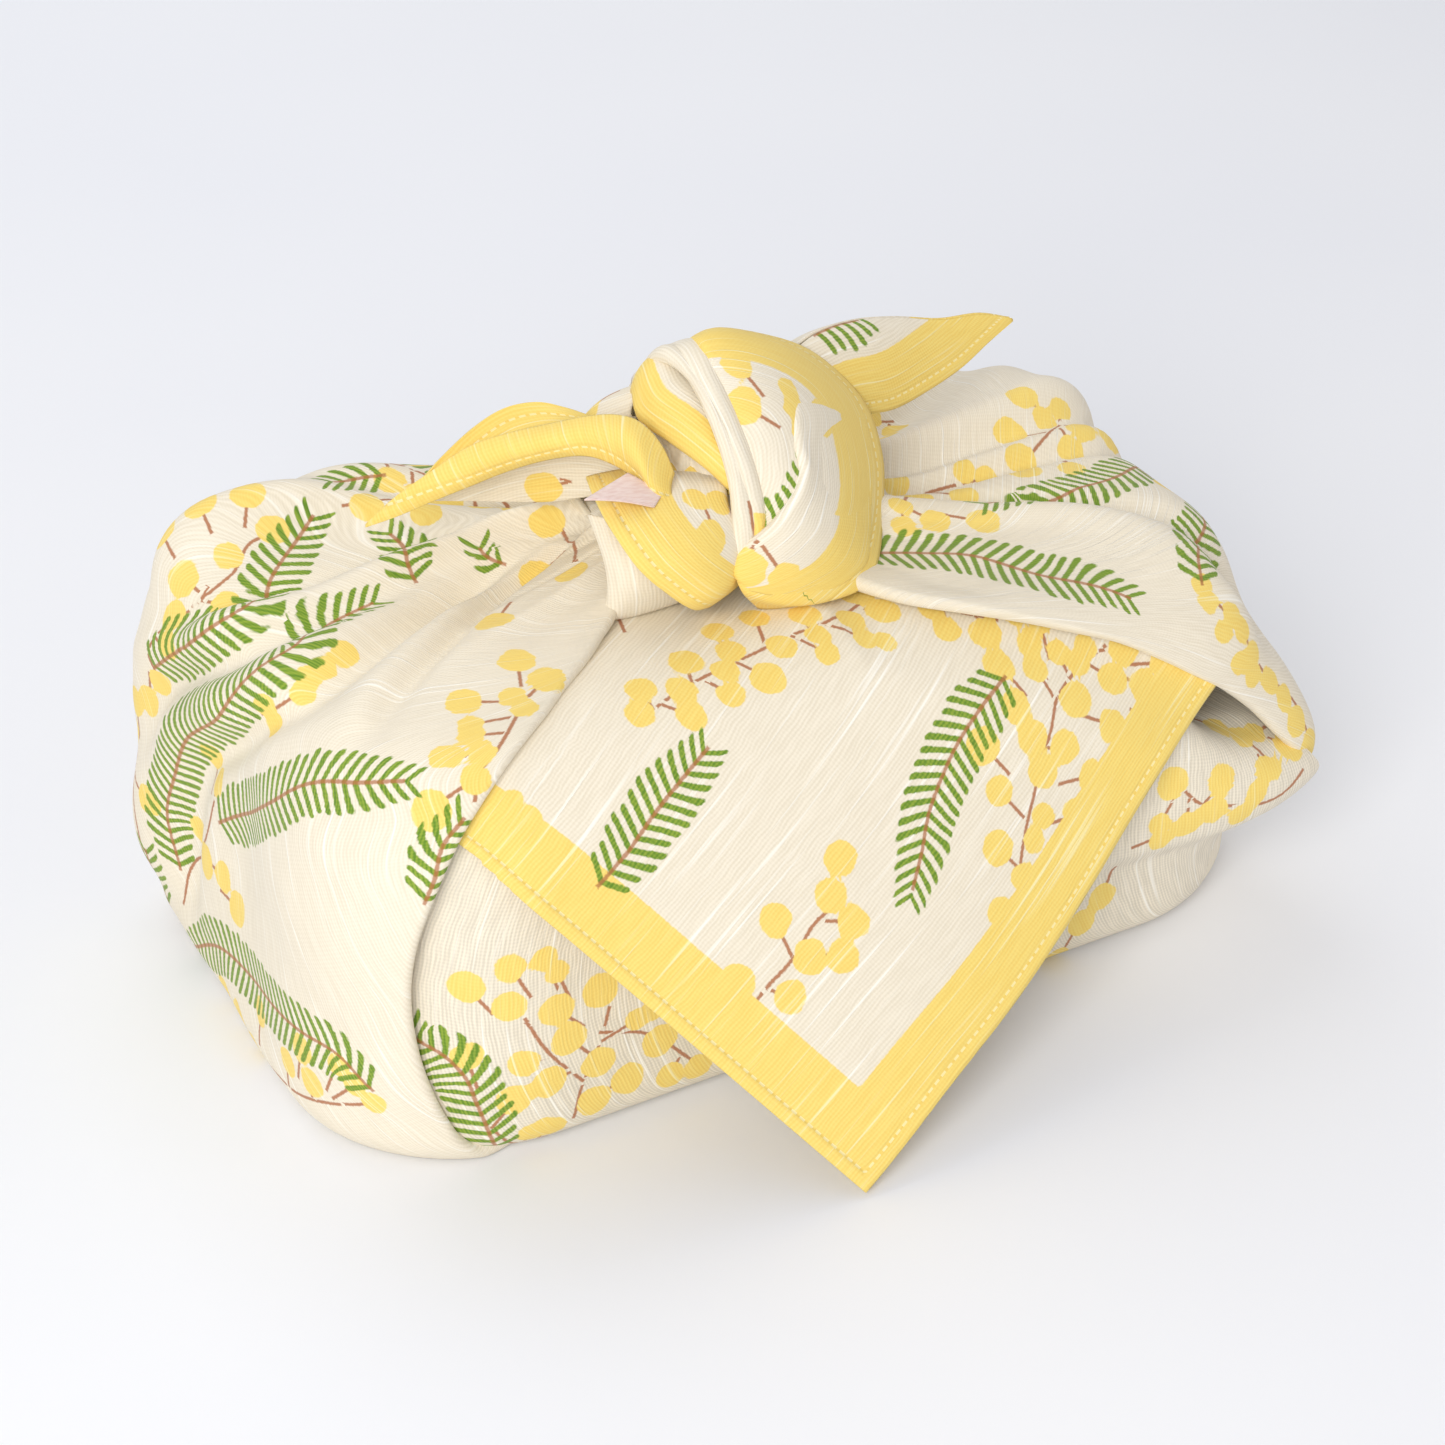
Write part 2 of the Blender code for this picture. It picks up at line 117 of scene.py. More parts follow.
# %% [markdown]
# ## Small rumples
#
# Between its folds cotton is never quite smooth. Random heights on a small square grid, with
# a smooth surface through them, give gentle bumps of any size. The seed is fixed, so that each
# run makes the same cloth.

# %% Rumples
RUMPLE_GRID = 64
rumple_heights = np.random.default_rng(12).uniform(-1, 1, (RUMPLE_GRID, RUMPLE_GRID))


def rumple(across, along):
    """Smooth random bumps between about -1 and 1, one for each unit of across and along."""
    column, row = np.floor(across).astype(int), np.floor(along).astype(int)
    s, t = across - column, along - row
    s, t = s * s * (3 - 2 * s), t * t * (3 - 2 * t)

    def height(i, j):
        return rumple_heights[(column + i) % RUMPLE_GRID, (row + j) % RUMPLE_GRID]

    low = height(0, 0) * (1 - s) + height(1, 0) * s
    high = height(0, 1) * (1 - s) + height(1, 1) * s
    return low * (1 - t) + high * t


# %% [markdown]
# ## The stuffed shape
#
# Under the folds lies a box with rounded corners. Every place on it has two numbers: the
# travel, from 0 at the floor up the wall and in over the top to 1 at the knot, and the degrees
# round the knot. This way a fold that runs from the floor to the knot is a short list of
# (travel, degrees), as one would point at it on the real thing. The box and its profile have
# the solid's values, so most of the cloth lies near the solid.

# %% Places on the wrapped box
LEFT_END, RIGHT_END = -0.128, 0.120
FRONT_SIDE, BACK_SIDE = -0.076, 0.073
TOP_HEIGHT = 0.100
CORNER_ROUND = {"front_left": 0.044, "front_right": 0.045, "back_right": 0.048, "back_left": 0.026}
KNOT_AXIS = (-0.004, -0.010)
REACH_HALVINGS = 26
# Travel, inset from the widest outline, pull towards the knot's axis, share of the top's height
PROFILE = (
    (0.00, 0.0070, 0.00, 0.000),
    (0.05, 0.0025, 0.00, 0.035),
    (0.16, 0.0000, 0.00, 0.160),
    (0.34, 0.0000, 0.00, 0.440),
    (0.49, 0.0020, 0.00, 0.690),
    (0.60, 0.0060, 0.00, 0.860),
    (0.68, 0.0150, 0.00, 0.950),
    (0.76, 0.0170, 0.17, 0.985),
    (0.86, 0.0170, 0.44, 1.000),
    (0.94, 0.0170, 0.68, 1.000),
    (1.00, 0.0170, 0.82, 1.000),
)


def outline_distance(x, y):
    """Distance outside the plan outline, a rectangle with its own radius at each corner."""
    px = x - (LEFT_END + RIGHT_END) / 2
    py = y - (FRONT_SIDE + BACK_SIDE) / 2
    right = np.where(py > 0, CORNER_ROUND["back_right"], CORNER_ROUND["front_right"])
    left = np.where(py > 0, CORNER_ROUND["back_left"], CORNER_ROUND["front_left"])
    radius = np.where(px > 0, right, left)
    qx = np.abs(px) - (RIGHT_END - LEFT_END) / 2 + radius
    qy = np.abs(py) - (BACK_SIDE - FRONT_SIDE) / 2 + radius
    outside = np.hypot(np.maximum(qx, 0), np.maximum(qy, 0))
    return np.minimum(np.maximum(qx, qy), 0) + outside - radius


def outline_reach(angle, inset):
    """How far the inset outline lies from the knot's axis, found by halving."""
    near, far = np.zeros_like(angle), np.full_like(angle, RIGHT_END - LEFT_END)
    for _ in range(REACH_HALVINGS):
        middle = (near + far) / 2
        x = KNOT_AXIS[0] + middle * np.cos(angle)
        y = KNOT_AXIS[1] + middle * np.sin(angle)
        outside = outline_distance(x, y) > -inset
        near, far = np.where(outside, near, middle), np.where(outside, middle, far)
    return (near + far) / 2


def base_surface(travel, degrees):
    """The stuffed shape without folds: points, their outward directions and their reach."""
    angle = np.radians(degrees)
    inset = from_table(PROFILE, travel, 1)
    pull = from_table(PROFILE, travel, 2)
    reach = outline_reach(angle, inset) * (1 - pull)
    height = TOP_HEIGHT * from_table(PROFILE, travel, 3)
    x = KNOT_AXIS[0] + reach * np.cos(angle)
    y = KNOT_AXIS[1] + reach * np.sin(angle)

    def change(column):
        return from_table(PROFILE, travel + 0.01, column) - from_table(PROFILE, travel - 0.01, column)

    climb = TOP_HEIGHT * change(3)
    inward = change(1) + change(2) * reach / np.maximum(1 - pull, 0.05)
    length = np.hypot(climb, inward) + 1e-9
    out = climb / length
    outward = np.stack([out * np.cos(angle), out * np.sin(angle), inward / length], -1)
    return np.stack([x, y, height], -1), outward, reach


# %% [markdown]
# ## The main folds
#
# Where two corners of a cloth are pulled up to a knot, the slack gathers into folds that fan
# out from the knot and run down the ends. A simulation would find folds of its own, but not
# these ones, so the main folds are given one by one: each is a path with a soft trough and a
# ridge beside it. Broad swells say where the cloth stands off the box.

# %% Folds of the wings
# The front edge of each wing, from the floor to the knot: travel, degrees
LEFT_LIP = (
    (0.00, 213.0), (0.10, 210.0), (0.18, 208.4), (0.27, 207.0), (0.36, 206.7), (0.44, 207.5),
    (0.51, 208.9), (0.60, 210.9), (0.68, 212.2), (0.76, 211.4), (0.86, 208.4), (0.93, 202.0),
    (1.00, 188.0),
)
RIGHT_LIP = (
    (0.00, -31.0), (0.20, -30.0), (0.29, -29.6), (0.34, -30.3), (0.38, -31.5), (0.44, -33.5),
    (0.49, -36.2), (0.55, -40.3), (0.59, -43.8), (0.64, -50.0), (0.69, -57.5), (0.745, -63.5),
    (0.80, -67.0), (0.90, -66.0), (1.00, -56.0),
)
# How far each wing's edge stands over the cloth below it: travel, left, right
LIP_STAND = ((0.00, 0.0005, 0.0000), (0.20, 0.0030, 0.0000), (0.34, 0.0050, 0.0020),
             (0.45, 0.0060, 0.0070), (0.60, 0.0060, 0.0070), (0.75, 0.0042, 0.0052),
             (1.00, 0.0042, 0.0048))
LIP_REACH = 0.030
# Path of (travel, degrees), depth, width, and the side of the trough on which its ridge lies
FOLDS = {
    "left deep pleat": (((0.16, 160), (0.30, 161), (0.45, 166), (0.58, 177), (0.70, 183),
                         (0.80, 176), (0.90, 162), (1.00, 141)), 0.0048, 0.0078, -1),
    "left upper pleat": (((0.38, 154), (0.50, 157), (0.65, 168), (0.80, 167), (0.90, 154),
                          (1.00, 134)), 0.0034, 0.0066, -1),
    "left knot gather": (((0.62, 158), (0.75, 160), (0.88, 148), (1.00, 125)), 0.0030, 0.0055, 1),
    "left front gather": (((0.70, 196), (0.80, 188), (0.90, 170), (1.00, 146)), 0.0030, 0.0050, -1),
    "left back corner": (((0.20, 141), (0.45, 140), (0.66, 141), (0.85, 130), (1.00, 108)),
                         0.0030, 0.0080, 1),
    "right back pleat": (((0.55, 8), (0.68, 8), (0.82, 10), (0.92, 14), (1.00, 24)),
                         0.0050, 0.0065, 1),
    "right middle pleat": (((0.60, 1), (0.72, 2), (0.84, 3), (0.93, 5), (1.00, 8)),
                           0.0040, 0.0055, 1),
    "right front pleat": (((0.50, -25), (0.64, -23), (0.76, -17), (0.88, -9), (1.00, -6)),
                          0.0035, 0.0065, -1),
    "right back corner": (((0.10, 36), (0.40, 33), (0.62, 30), (0.80, 29), (1.00, 42)),
                          0.0045, 0.0100, 1),
}
FOLD_SPREAD, FOLD_LEAST, FOLD_FADE = 0.098, 0.4, 0.06
TROUGH_WIDTH, RIDGE_WIDTH, RIDGE_ASIDE, RIDGE_SHARE = 0.55, 0.80, 1.15, 0.75
# Travel, degrees, reach up, reach round, height
SWELLS = (
    (0.80, 190, 0.14, 16, 0.0030), (0.45, 190, 0.20, 16, 0.0025), (0.40, 176, 0.16, 7, -0.0030),
    (0.78, 140, 0.12, 14, 0.0020), (0.30, 100, 0.25, 16, -0.0020), (0.80, -25, 0.12, 14, 0.0030),
    (0.40, 12, 0.22, 12, 0.0030), (0.50, 60, 0.25, 14, -0.0030), (0.08, 188, 0.14, 24, 0.0045),
    (0.70, 140, 0.07, 12, 0.0120), (0.70, 100, 0.07, 32, 0.0070), (0.69, 22, 0.08, 18, 0.0060),
)
NECK_RISE, NECK_SPREAD = 0.009, 42.0
# Fine gathers near the knot: height, how many degrees apart, travel where they are half as high
GATHERS = ((0.0016, 5.5, 0.80), (0.0009, 2.6, 0.88))
RUMPLE_HEIGHT, RUMPLE_TRAVEL, RUMPLE_DEGREES = 0.0007, 0.09, 9.0


def fold_height(fold, travel, degrees, reach):
    """A narrow trough with a soft ridge beside it, fading in at the low end of its path."""
    path, depth, width, side = fold
    across = np.radians(degrees - from_table(path, travel, 1)) * np.maximum(reach, 0.02)
    across = across / (width * (FOLD_LEAST + reach / FOLD_SPREAD))
    trough = -bell(across / TROUGH_WIDTH)
    ridge = RIDGE_SHARE * bell((across - side * RIDGE_ASIDE) / RIDGE_WIDTH)
    return depth * soft_step((travel - path[0][0]) / FOLD_FADE) * (trough + ridge)


# %% [markdown]
# ## The ear
#
# At the right front corner the wing's folded edge stands out like an ear, because the cloth
# there turns round the box's corner with too much length. Below it a pocket opens into the
# fold. The ear swells gently above its crest and drops sharply below it.

# %% The ear and its pocket
EAR_TRAVEL, EAR_ANGLE, EAR_REACH = 0.315, -27.5, 0.0198
EAR_SPREAD_OUTSIDE, EAR_SPREAD_FRONT = 9.0, 13.0
EAR_RISE, EAR_DROP = 0.13, 0.078
SHELF_REACH, SHELF_EDGE, SHELF_ANGLE = 0.006, 0.248, -58.0
SHELF_RISE, SHELF_TOP, SHELF_FALL, SHELF_TURN = 0.025, 0.49, 0.07, 5
POCKET_TRAVEL, POCKET_ANGLE, POCKET_DEPTH = 0.44, -27.5, 0.036
POCKET_RISE, POCKET_SPREAD, POCKET_OPEN_RISE = 0.075, 8.0, 0.085


def ear_height(travel, degrees, front):
    spread = EAR_SPREAD_FRONT if front else EAR_SPREAD_OUTSIDE
    across = bell((degrees - EAR_ANGLE) / spread)
    above = bell((travel - EAR_TRAVEL) / EAR_RISE)
    below = bell((travel - EAR_TRAVEL) / EAR_DROP)
    swell = EAR_REACH * across * np.where(travel > EAR_TRAVEL, above, below)
    if not front:
        return swell
    shelf = SHELF_REACH * soft_step((travel - SHELF_EDGE) / SHELF_RISE)
    shelf = shelf * soft_step((SHELF_TOP - travel) / SHELF_FALL)
    shelf = shelf * soft_step((degrees - SHELF_ANGLE) / SHELF_TURN)
    pocket = bell((degrees - POCKET_ANGLE) / POCKET_SPREAD) * bell((travel - POCKET_TRAVEL) / POCKET_RISE)
    return swell + shelf - POCKET_DEPTH * pocket


def wrap_points(travel, degrees, from_lip, front):
    """Places on the wrap. from_lip is the distance round from the nearest wing edge."""
    points, outward, reach = base_surface(travel, degrees)
    height = ear_height(travel, degrees, front)
    if not front:
        for fold in FOLDS.values():
            height = height + fold_height(fold, travel, degrees, reach)
        for at, middle, rise, spread, swell in SWELLS:
            height = height + swell * bell((travel - at) / rise) * bell((degrees - middle) / spread)
        stand = np.where(degrees > 90, from_table(LIP_STAND, travel, 1), from_table(LIP_STAND, travel, 2))
        height = height + stand * bell(from_lip / LIP_REACH)
        ends = bell((degrees - 175) / NECK_SPREAD) + bell(degrees / NECK_SPREAD)
        height = height + NECK_RISE * ends * soft_step((travel - 0.92) / 0.08)
        for rise, apart, half in GATHERS:
            fade = soft_step((travel - half) / 0.16) * np.minimum(ends, 1)
            height = height + rise * fade * rumple(degrees / apart, travel * 2.5)
        free = soft_step(from_lip / 0.008 - 1)
        height = height + RUMPLE_HEIGHT * free * rumple(degrees / RUMPLE_DEGREES, travel / RUMPLE_TRAVEL)
    height = height * soft_step((travel - 0.02) / 0.03)
    moved = points + outward * height[..., None]
    moved[..., 2] = np.maximum(moved[..., 2], 0.0)
    return moved, outward


# %% [markdown]
# ## Sheets from grids
#
# A sheet of cloth is a grid of points. Beside each point's place in the room, three numbers
# say where it is in the cloth: how far along the weave and across it, and how far from the
# cut edge, all in millimetres. They are stored on the mesh as an attribute, so that the
# thread, the border and the hem follow the folds. Each sheet also keeps the two numbers by
# which one points at a place on it, because the print is placed that way later.

# %% Making a sheet
sheets = {}


def grid_sheet(name, points, woven, places, thickness=None):
    """A sheet from a grid of points, of (along, across, from edge) in millimetres and of places."""
    rows, columns = points.shape[:2]
    mesh = bpy.data.meshes.new(name)
    corner = (np.arange(rows - 1)[:, None] * columns + np.arange(columns - 1)).ravel()
    faces = np.stack([corner, corner + 1, corner + columns + 1, corner + columns], -1)
    mesh.from_pydata(points.reshape(-1, 3).tolist(), [], faces.tolist())
    mesh.attributes.new("woven", "FLOAT_VECTOR", "POINT").data.foreach_set(
        "vector", woven.reshape(-1).astype(np.float32))
    mesh.shade_smooth()
    piece = bpy.data.objects.new(name, mesh)
    bpy.context.scene.collection.objects.link(piece)
    sheets[name] = {"object": piece, "points": points, "places": places, "thickness": thickness}
    print(f"{name}: {rows} x {columns} points")


def distances(points, axis):
    """How far each point of a grid lies from the first, along its rows (1) or columns (0)."""
    steps = np.linalg.norm(np.diff(points, axis=axis), axis=-1)
    start = np.zeros_like(np.take(steps, [0], axis=axis))
    return np.concatenate([start, np.cumsum(steps, axis=axis)], axis=axis)


# %% [markdown]
# ## The wings
#
# The cloth's left and right corners cover the ends and the back of the box and run up to the
# knot. Here they are one sheet, from the right wing's front edge round the back to the left
# wing's. That front edge is no cut edge: the cloth is folded under there, so the sheet rolls
# round with a small radius and goes back beneath itself. A modifier could only round a hard
# edge, so the roll is made by turning the edge's own points in a half circle.

# %% Wings and back
WING_ROWS, WING_COLUMNS = 176, 440
ROLL_RADIUS = 0.0018
ROLL_STEPS, TUCK_STEPS, TUCK_STEP = 8, 5, 0.0018


def rolled_edge(edge, inside, along):
    """Columns that turn a sheet's edge under: the edge's points, those inside it, a direction along it."""
    sideways = edge - inside
    sideways /= np.linalg.norm(sideways, axis=-1, keepdims=True)
    out = np.cross(sideways, along)
    out /= np.linalg.norm(out, axis=-1, keepdims=True)
    columns = []
    for k in range(1, ROLL_STEPS + 1):
        turn = math.pi * k / ROLL_STEPS
        columns.append(edge + ROLL_RADIUS * (sideways * math.sin(turn) - out * (1 - math.cos(turn))))
    for k in range(1, TUCK_STEPS + 1):
        columns.append(edge - sideways * TUCK_STEP * k - out * 2 * ROLL_RADIUS)
    return np.stack(columns, 1)


travel = np.linspace(0, 1, WING_ROWS)[:, None]
right_edge = from_table(RIGHT_LIP, travel, 1)
left_edge = from_table(LEFT_LIP, travel, 1)
degrees = right_edge + (left_edge - right_edge) * np.linspace(0, 1, WING_COLUMNS)
size = (1 - 0.8 * np.maximum(0, travel - 0.68) / 0.32) * 0.12
from_lip = np.radians(np.minimum(degrees - right_edge, left_edge - degrees)) * size
wing_points, wing_outward = wrap_points(travel + 0 * degrees, degrees, from_lip, False)
up_the_edge = np.gradient(wing_points, axis=0)
right_roll = rolled_edge(wing_points[:, 0], wing_points[:, 2], -up_the_edge[:, 0])
left_roll = rolled_edge(wing_points[:, -1], wing_points[:, -3], up_the_edge[:, -1])
wing_points = np.concatenate([right_roll[:, ::-1], wing_points, left_roll], 1)
wing_points[..., 2] = np.maximum(wing_points[..., 2], 0.0004)
wing_travel = travel + np.zeros(wing_points.shape[:2])
rolled = ROLL_STEPS + TUCK_STEPS
wing_degrees = np.pad(degrees, ((0, 0), (rolled, rolled)), mode="edge")

WING_WEAVE_TURN = math.radians(28)
FAR_FROM_EDGE = 999.0
round_the_box = 1000 * distances(wing_points, 1)
middle_column = wing_points.shape[1] // 2
round_the_box -= round_the_box[:, middle_column:middle_column + 1]
up_the_box = 1000 * distances(wing_points, 0)
wing_woven = np.stack([
    round_the_box * math.cos(WING_WEAVE_TURN) + up_the_box * math.sin(WING_WEAVE_TURN),
    up_the_box * math.cos(WING_WEAVE_TURN) - round_the_box * math.sin(WING_WEAVE_TURN),
    np.full(wing_points.shape[:2], FAR_FROM_EDGE),
], -1)
wing_places = np.stack([wing_travel, wing_degrees], -1)
grid_sheet("wings_and_back", wing_points, wing_woven, wing_places)


# %% [markdown]
# ## The front under the flap
#
# Between the two wings, and under the flap, one layer of the cloth lies on the box. It is the
# third corner, tucked in flat. At the right it turns out into the ear's pocket.

# %% Front
FRONT_ROWS, FRONT_COLUMNS = 90, 190
FRONT_TOP = 0.66
FRONT_TUCK_LEFT, FRONT_TUCK_RIGHT = 7.0, 9.0
FRONT_DIP, FRONT_DIP_DEGREES = 0.005, 1.5
UNDER_FLAP_TRAVEL, UNDER_FLAP_ANGLE, UNDER_FLAP_DIP = 0.49, -60, 0.006
travel = np.linspace(0, FRONT_TOP, FRONT_ROWS)[:, None]
start = from_table(LEFT_LIP, travel, 1) - FRONT_TUCK_LEFT
stop = from_table(RIGHT_LIP, travel, 1) + 360 + FRONT_TUCK_RIGHT * soft_step((travel - 0.36) / 0.04)
degrees = start + (stop - start) * np.linspace(0, 1, FRONT_COLUMNS) - 360
front_points, front_outward = wrap_points(travel + 0 * degrees, degrees, 0 * degrees, True)
wing_over, outward = wrap_points(travel + 0 * degrees, degrees, 0 * degrees, False)
past_lip = soft_step((degrees - from_table(RIGHT_LIP, travel, 1) - FRONT_DIP_DEGREES) / FRONT_DIP_DEGREES)
past_lip = past_lip * (1 - bell((travel - POCKET_TRAVEL) / POCKET_OPEN_RISE))
front_points += (wing_over - FRONT_DIP * outward - front_points) * past_lip[..., None]
under_flap = soft_step((travel - UNDER_FLAP_TRAVEL) / 0.05) * bell((degrees - UNDER_FLAP_ANGLE) / 32)
front_points -= UNDER_FLAP_DIP * under_flap[..., None] * front_outward
round_the_front = 1000 * distances(front_points, 1)
up_the_front = 1000 * distances(front_points, 0)
front_woven = np.stack([round_the_front, up_the_front, np.full(degrees.shape, FAR_FROM_EDGE)], -1)
front_places = np.stack([travel + 0 * degrees, degrees], -1)
grid_sheet("front_layer", front_points, front_woven, front_places)


# %% [markdown]
# ## The flap
#
# The back corner of the cloth comes over the top and hangs in front with its own square
# corner, so its two hemmed edges show. A place on it is given by the distances along the two
# edges, which also are its places in the weave. It runs on under the wings and the knot:
# close to a wing's edge each point is drawn down to the box, and inside that edge it is laid a
# little below the nearest point of the wing, which a k-d tree finds quickly. Solidify gives
# the flap the thickness of the cloth at the end.

# %% Flap
FLAP_TIP_X = -0.035
FLAP_LEFT_TURN, FLAP_RIGHT_TURN = math.radians(125.5), math.radians(35.5)
FLAP_LEFT_EDGE, FLAP_RIGHT_EDGE = 0.190, 0.200
FLAP_ROWS, FLAP_COLUMNS = 150, 158
FLAP_FLARE_MIDDLE, FLAP_FLARE_WIDTH = -0.020, 0.130
CLOTH_THICKNESS = 0.0007
FLAP_LEFT_SEEN, FLAP_RIGHT_SEEN = 0.138, 0.168
WIDEN_FROM, WIDEN_OVER = 0.22, 0.18
TUCK_DEPTH = 0.0045
HUG_HEIGHT, HUG_REACH = 0.0014, 0.012
TUCK_SMOOTHING = 24
TUCK_START, TUCK_FADE = 0.0045, 0.0035
FLAP_DRAW_RIGHT = np.array((0.0019, 0.0033, -0.0024))
# Up the flap's middle from its tip: distance along the cloth, out from the front side, height
FLAP_SLOPE = (
    (0.000, 0.0480, 0.0012), (0.030, 0.0330, 0.0272), (0.060, 0.0180, 0.0532),
    (0.082, 0.0070, 0.0722), (0.099, -0.0030, 0.0860), (0.112, -0.0125, 0.0948),
    (0.125, -0.0245, 0.0994), (0.145, -0.0445, 0.1002), (0.190, -0.0895, 0.1004),
    (0.280, -0.1795, 0.1004),
)

# How far the right edge is drawn outwards, from its corner up, and how far in that reaches
FLAP_DRAWN = (
    (0.000, 0.0000), (0.030, 0.0022), (0.060, 0.0062), (0.085, 0.0078), (0.110, 0.0072),
    (0.140, 0.0054), (0.168, 0.0045), (0.200, 0.0045), (0.300, 0.0045),
)
FLAP_DRAWN_REACH = 0.075


def flap_places(along_left, along_right):
    """Points on the flap from distances along its two edges."""
    drawn = from_table(FLAP_DRAWN, along_right, 1) * bell(along_left / FLAP_DRAWN_REACH)
    x = FLAP_TIP_X + along_left * math.cos(FLAP_LEFT_TURN) + along_right * math.cos(FLAP_RIGHT_TURN)
    up = along_left * math.sin(FLAP_LEFT_TURN) + along_right * math.sin(FLAP_RIGHT_TURN)
    x = x + drawn * math.sin(FLAP_RIGHT_TURN)
    up = np.maximum(up - drawn * math.cos(FLAP_RIGHT_TURN), 0)
    out = from_table(FLAP_SLOPE, up, 1)
    height = from_table(FLAP_SLOPE, up, 2)
    hang = bell((x - FLAP_FLARE_MIDDLE) / FLAP_FLARE_WIDTH)
    out = np.where(out > 0, out * hang, out)
    return np.stack([x, FRONT_SIDE - out, height], -1)


def nearest_of(places, points):
    """For each point, the index of the nearest place and how far it is."""
    tree = KDTree(len(places))
    for i, place in enumerate(places):
        tree.insert(place, i)
    tree.balance()
    found = [tree.find(point)[1:] for point in points]
    return np.array([i for i, _ in found]), np.array([distance for _, distance in found])


def tucked_under_wings(points):
    """The points again: close to a wing's edge they hug the box, and inside it they lie below."""
    flat = points.reshape(-1, 3)
    inner = slice(rolled, -rolled)
    over = wing_points[:, inner].reshape(-1, 3)
    lips = np.concatenate([wing_points[:, rolled], wing_points[:, -rolled - 1]])
    _, from_edge = nearest_of(lips, flat)
    hug_travel = np.linspace(0.3, 1, 130)[:, None] + np.zeros(260)
    hug_degrees = np.linspace(195, 345, 260) + np.zeros((130, 1))
    box, box_outward, _ = base_surface(hug_travel, hug_degrees - 360)
    low = (box + HUG_HEIGHT * box_outward).reshape(-1, 3)
    close, _ = nearest_of(low, flat)
    weight = soft_step((HUG_REACH - from_edge) / HUG_REACH)[:, None]
    drawn = np.where(flat[:, :1] < 0, low[close], flat + FLAP_DRAW_RIGHT)
    flat = flat * (1 - weight) + drawn * weight
    nearest, _ = nearest_of(over, flat)
    weight = soft_step((from_lip.reshape(-1)[nearest] - TUCK_START) / TUCK_FADE)[:, None]
    below = over[nearest] - wing_outward.reshape(-1, 3)[nearest] * TUCK_DEPTH
    tucked = (flat * (1 - weight) + below * weight).reshape(points.shape)
    moved = soft_step(np.linalg.norm(tucked - points, axis=-1) / 0.001 - 1)[1:-1, 1:-1, None]
    for _ in range(TUCK_SMOOTHING):
        round_about = (tucked[:-2, 1:-1] + tucked[2:, 1:-1] + tucked[1:-1, :-2] + tucked[1:-1, 2:]) / 4
        tucked[1:-1, 1:-1] += 0.5 * moved * (round_about - tucked[1:-1, 1:-1])
    return tucked


left_share = np.linspace(0, 1, FLAP_ROWS)[:, None] + np.zeros(FLAP_COLUMNS)
right_share = np.linspace(0, 1, FLAP_COLUMNS)[None, :] + np.zeros((FLAP_ROWS, 1))
widening = soft_step((right_share - WIDEN_FROM) / WIDEN_OVER)
along_left = left_share * (FLAP_LEFT_SEEN + (FLAP_LEFT_EDGE - FLAP_LEFT_SEEN) * widening)
widening = soft_step((left_share - WIDEN_FROM) / WIDEN_OVER)
along_right = right_share * (FLAP_RIGHT_SEEN + (FLAP_RIGHT_EDGE - FLAP_RIGHT_SEEN) * widening)
flap_points = tucked_under_wings(flap_places(along_left, along_right))
flap_places_mm = 1000 * np.stack([along_left, along_right], -1)
flap_woven = np.concatenate([flap_places_mm, flap_places_mm.min(-1, keepdims=True)], -1)
grid_sheet("front_flap", flap_points, flap_woven, flap_places_mm, CLOTH_THICKNESS)


# %% [markdown]
# ## The knot
#
# The two gathered corners cross, and each goes once round the other. What shows are strips of
# gathered cloth: the big loop in front with its hemmed border, two narrow folds beside it, a
# loop at its lower left, and the bits that go into the knot. Each strip is given by rows of
# three points across it, its left edge, its middle and its right edge, in millimetres. A
# smooth curve runs through each edge and a parabola goes across, so that a strip bows. An
# edge that is no cut edge rolls under, as a fold does. Some of the points began as places
# picked in the photo, which a separate program turned into millimetres.

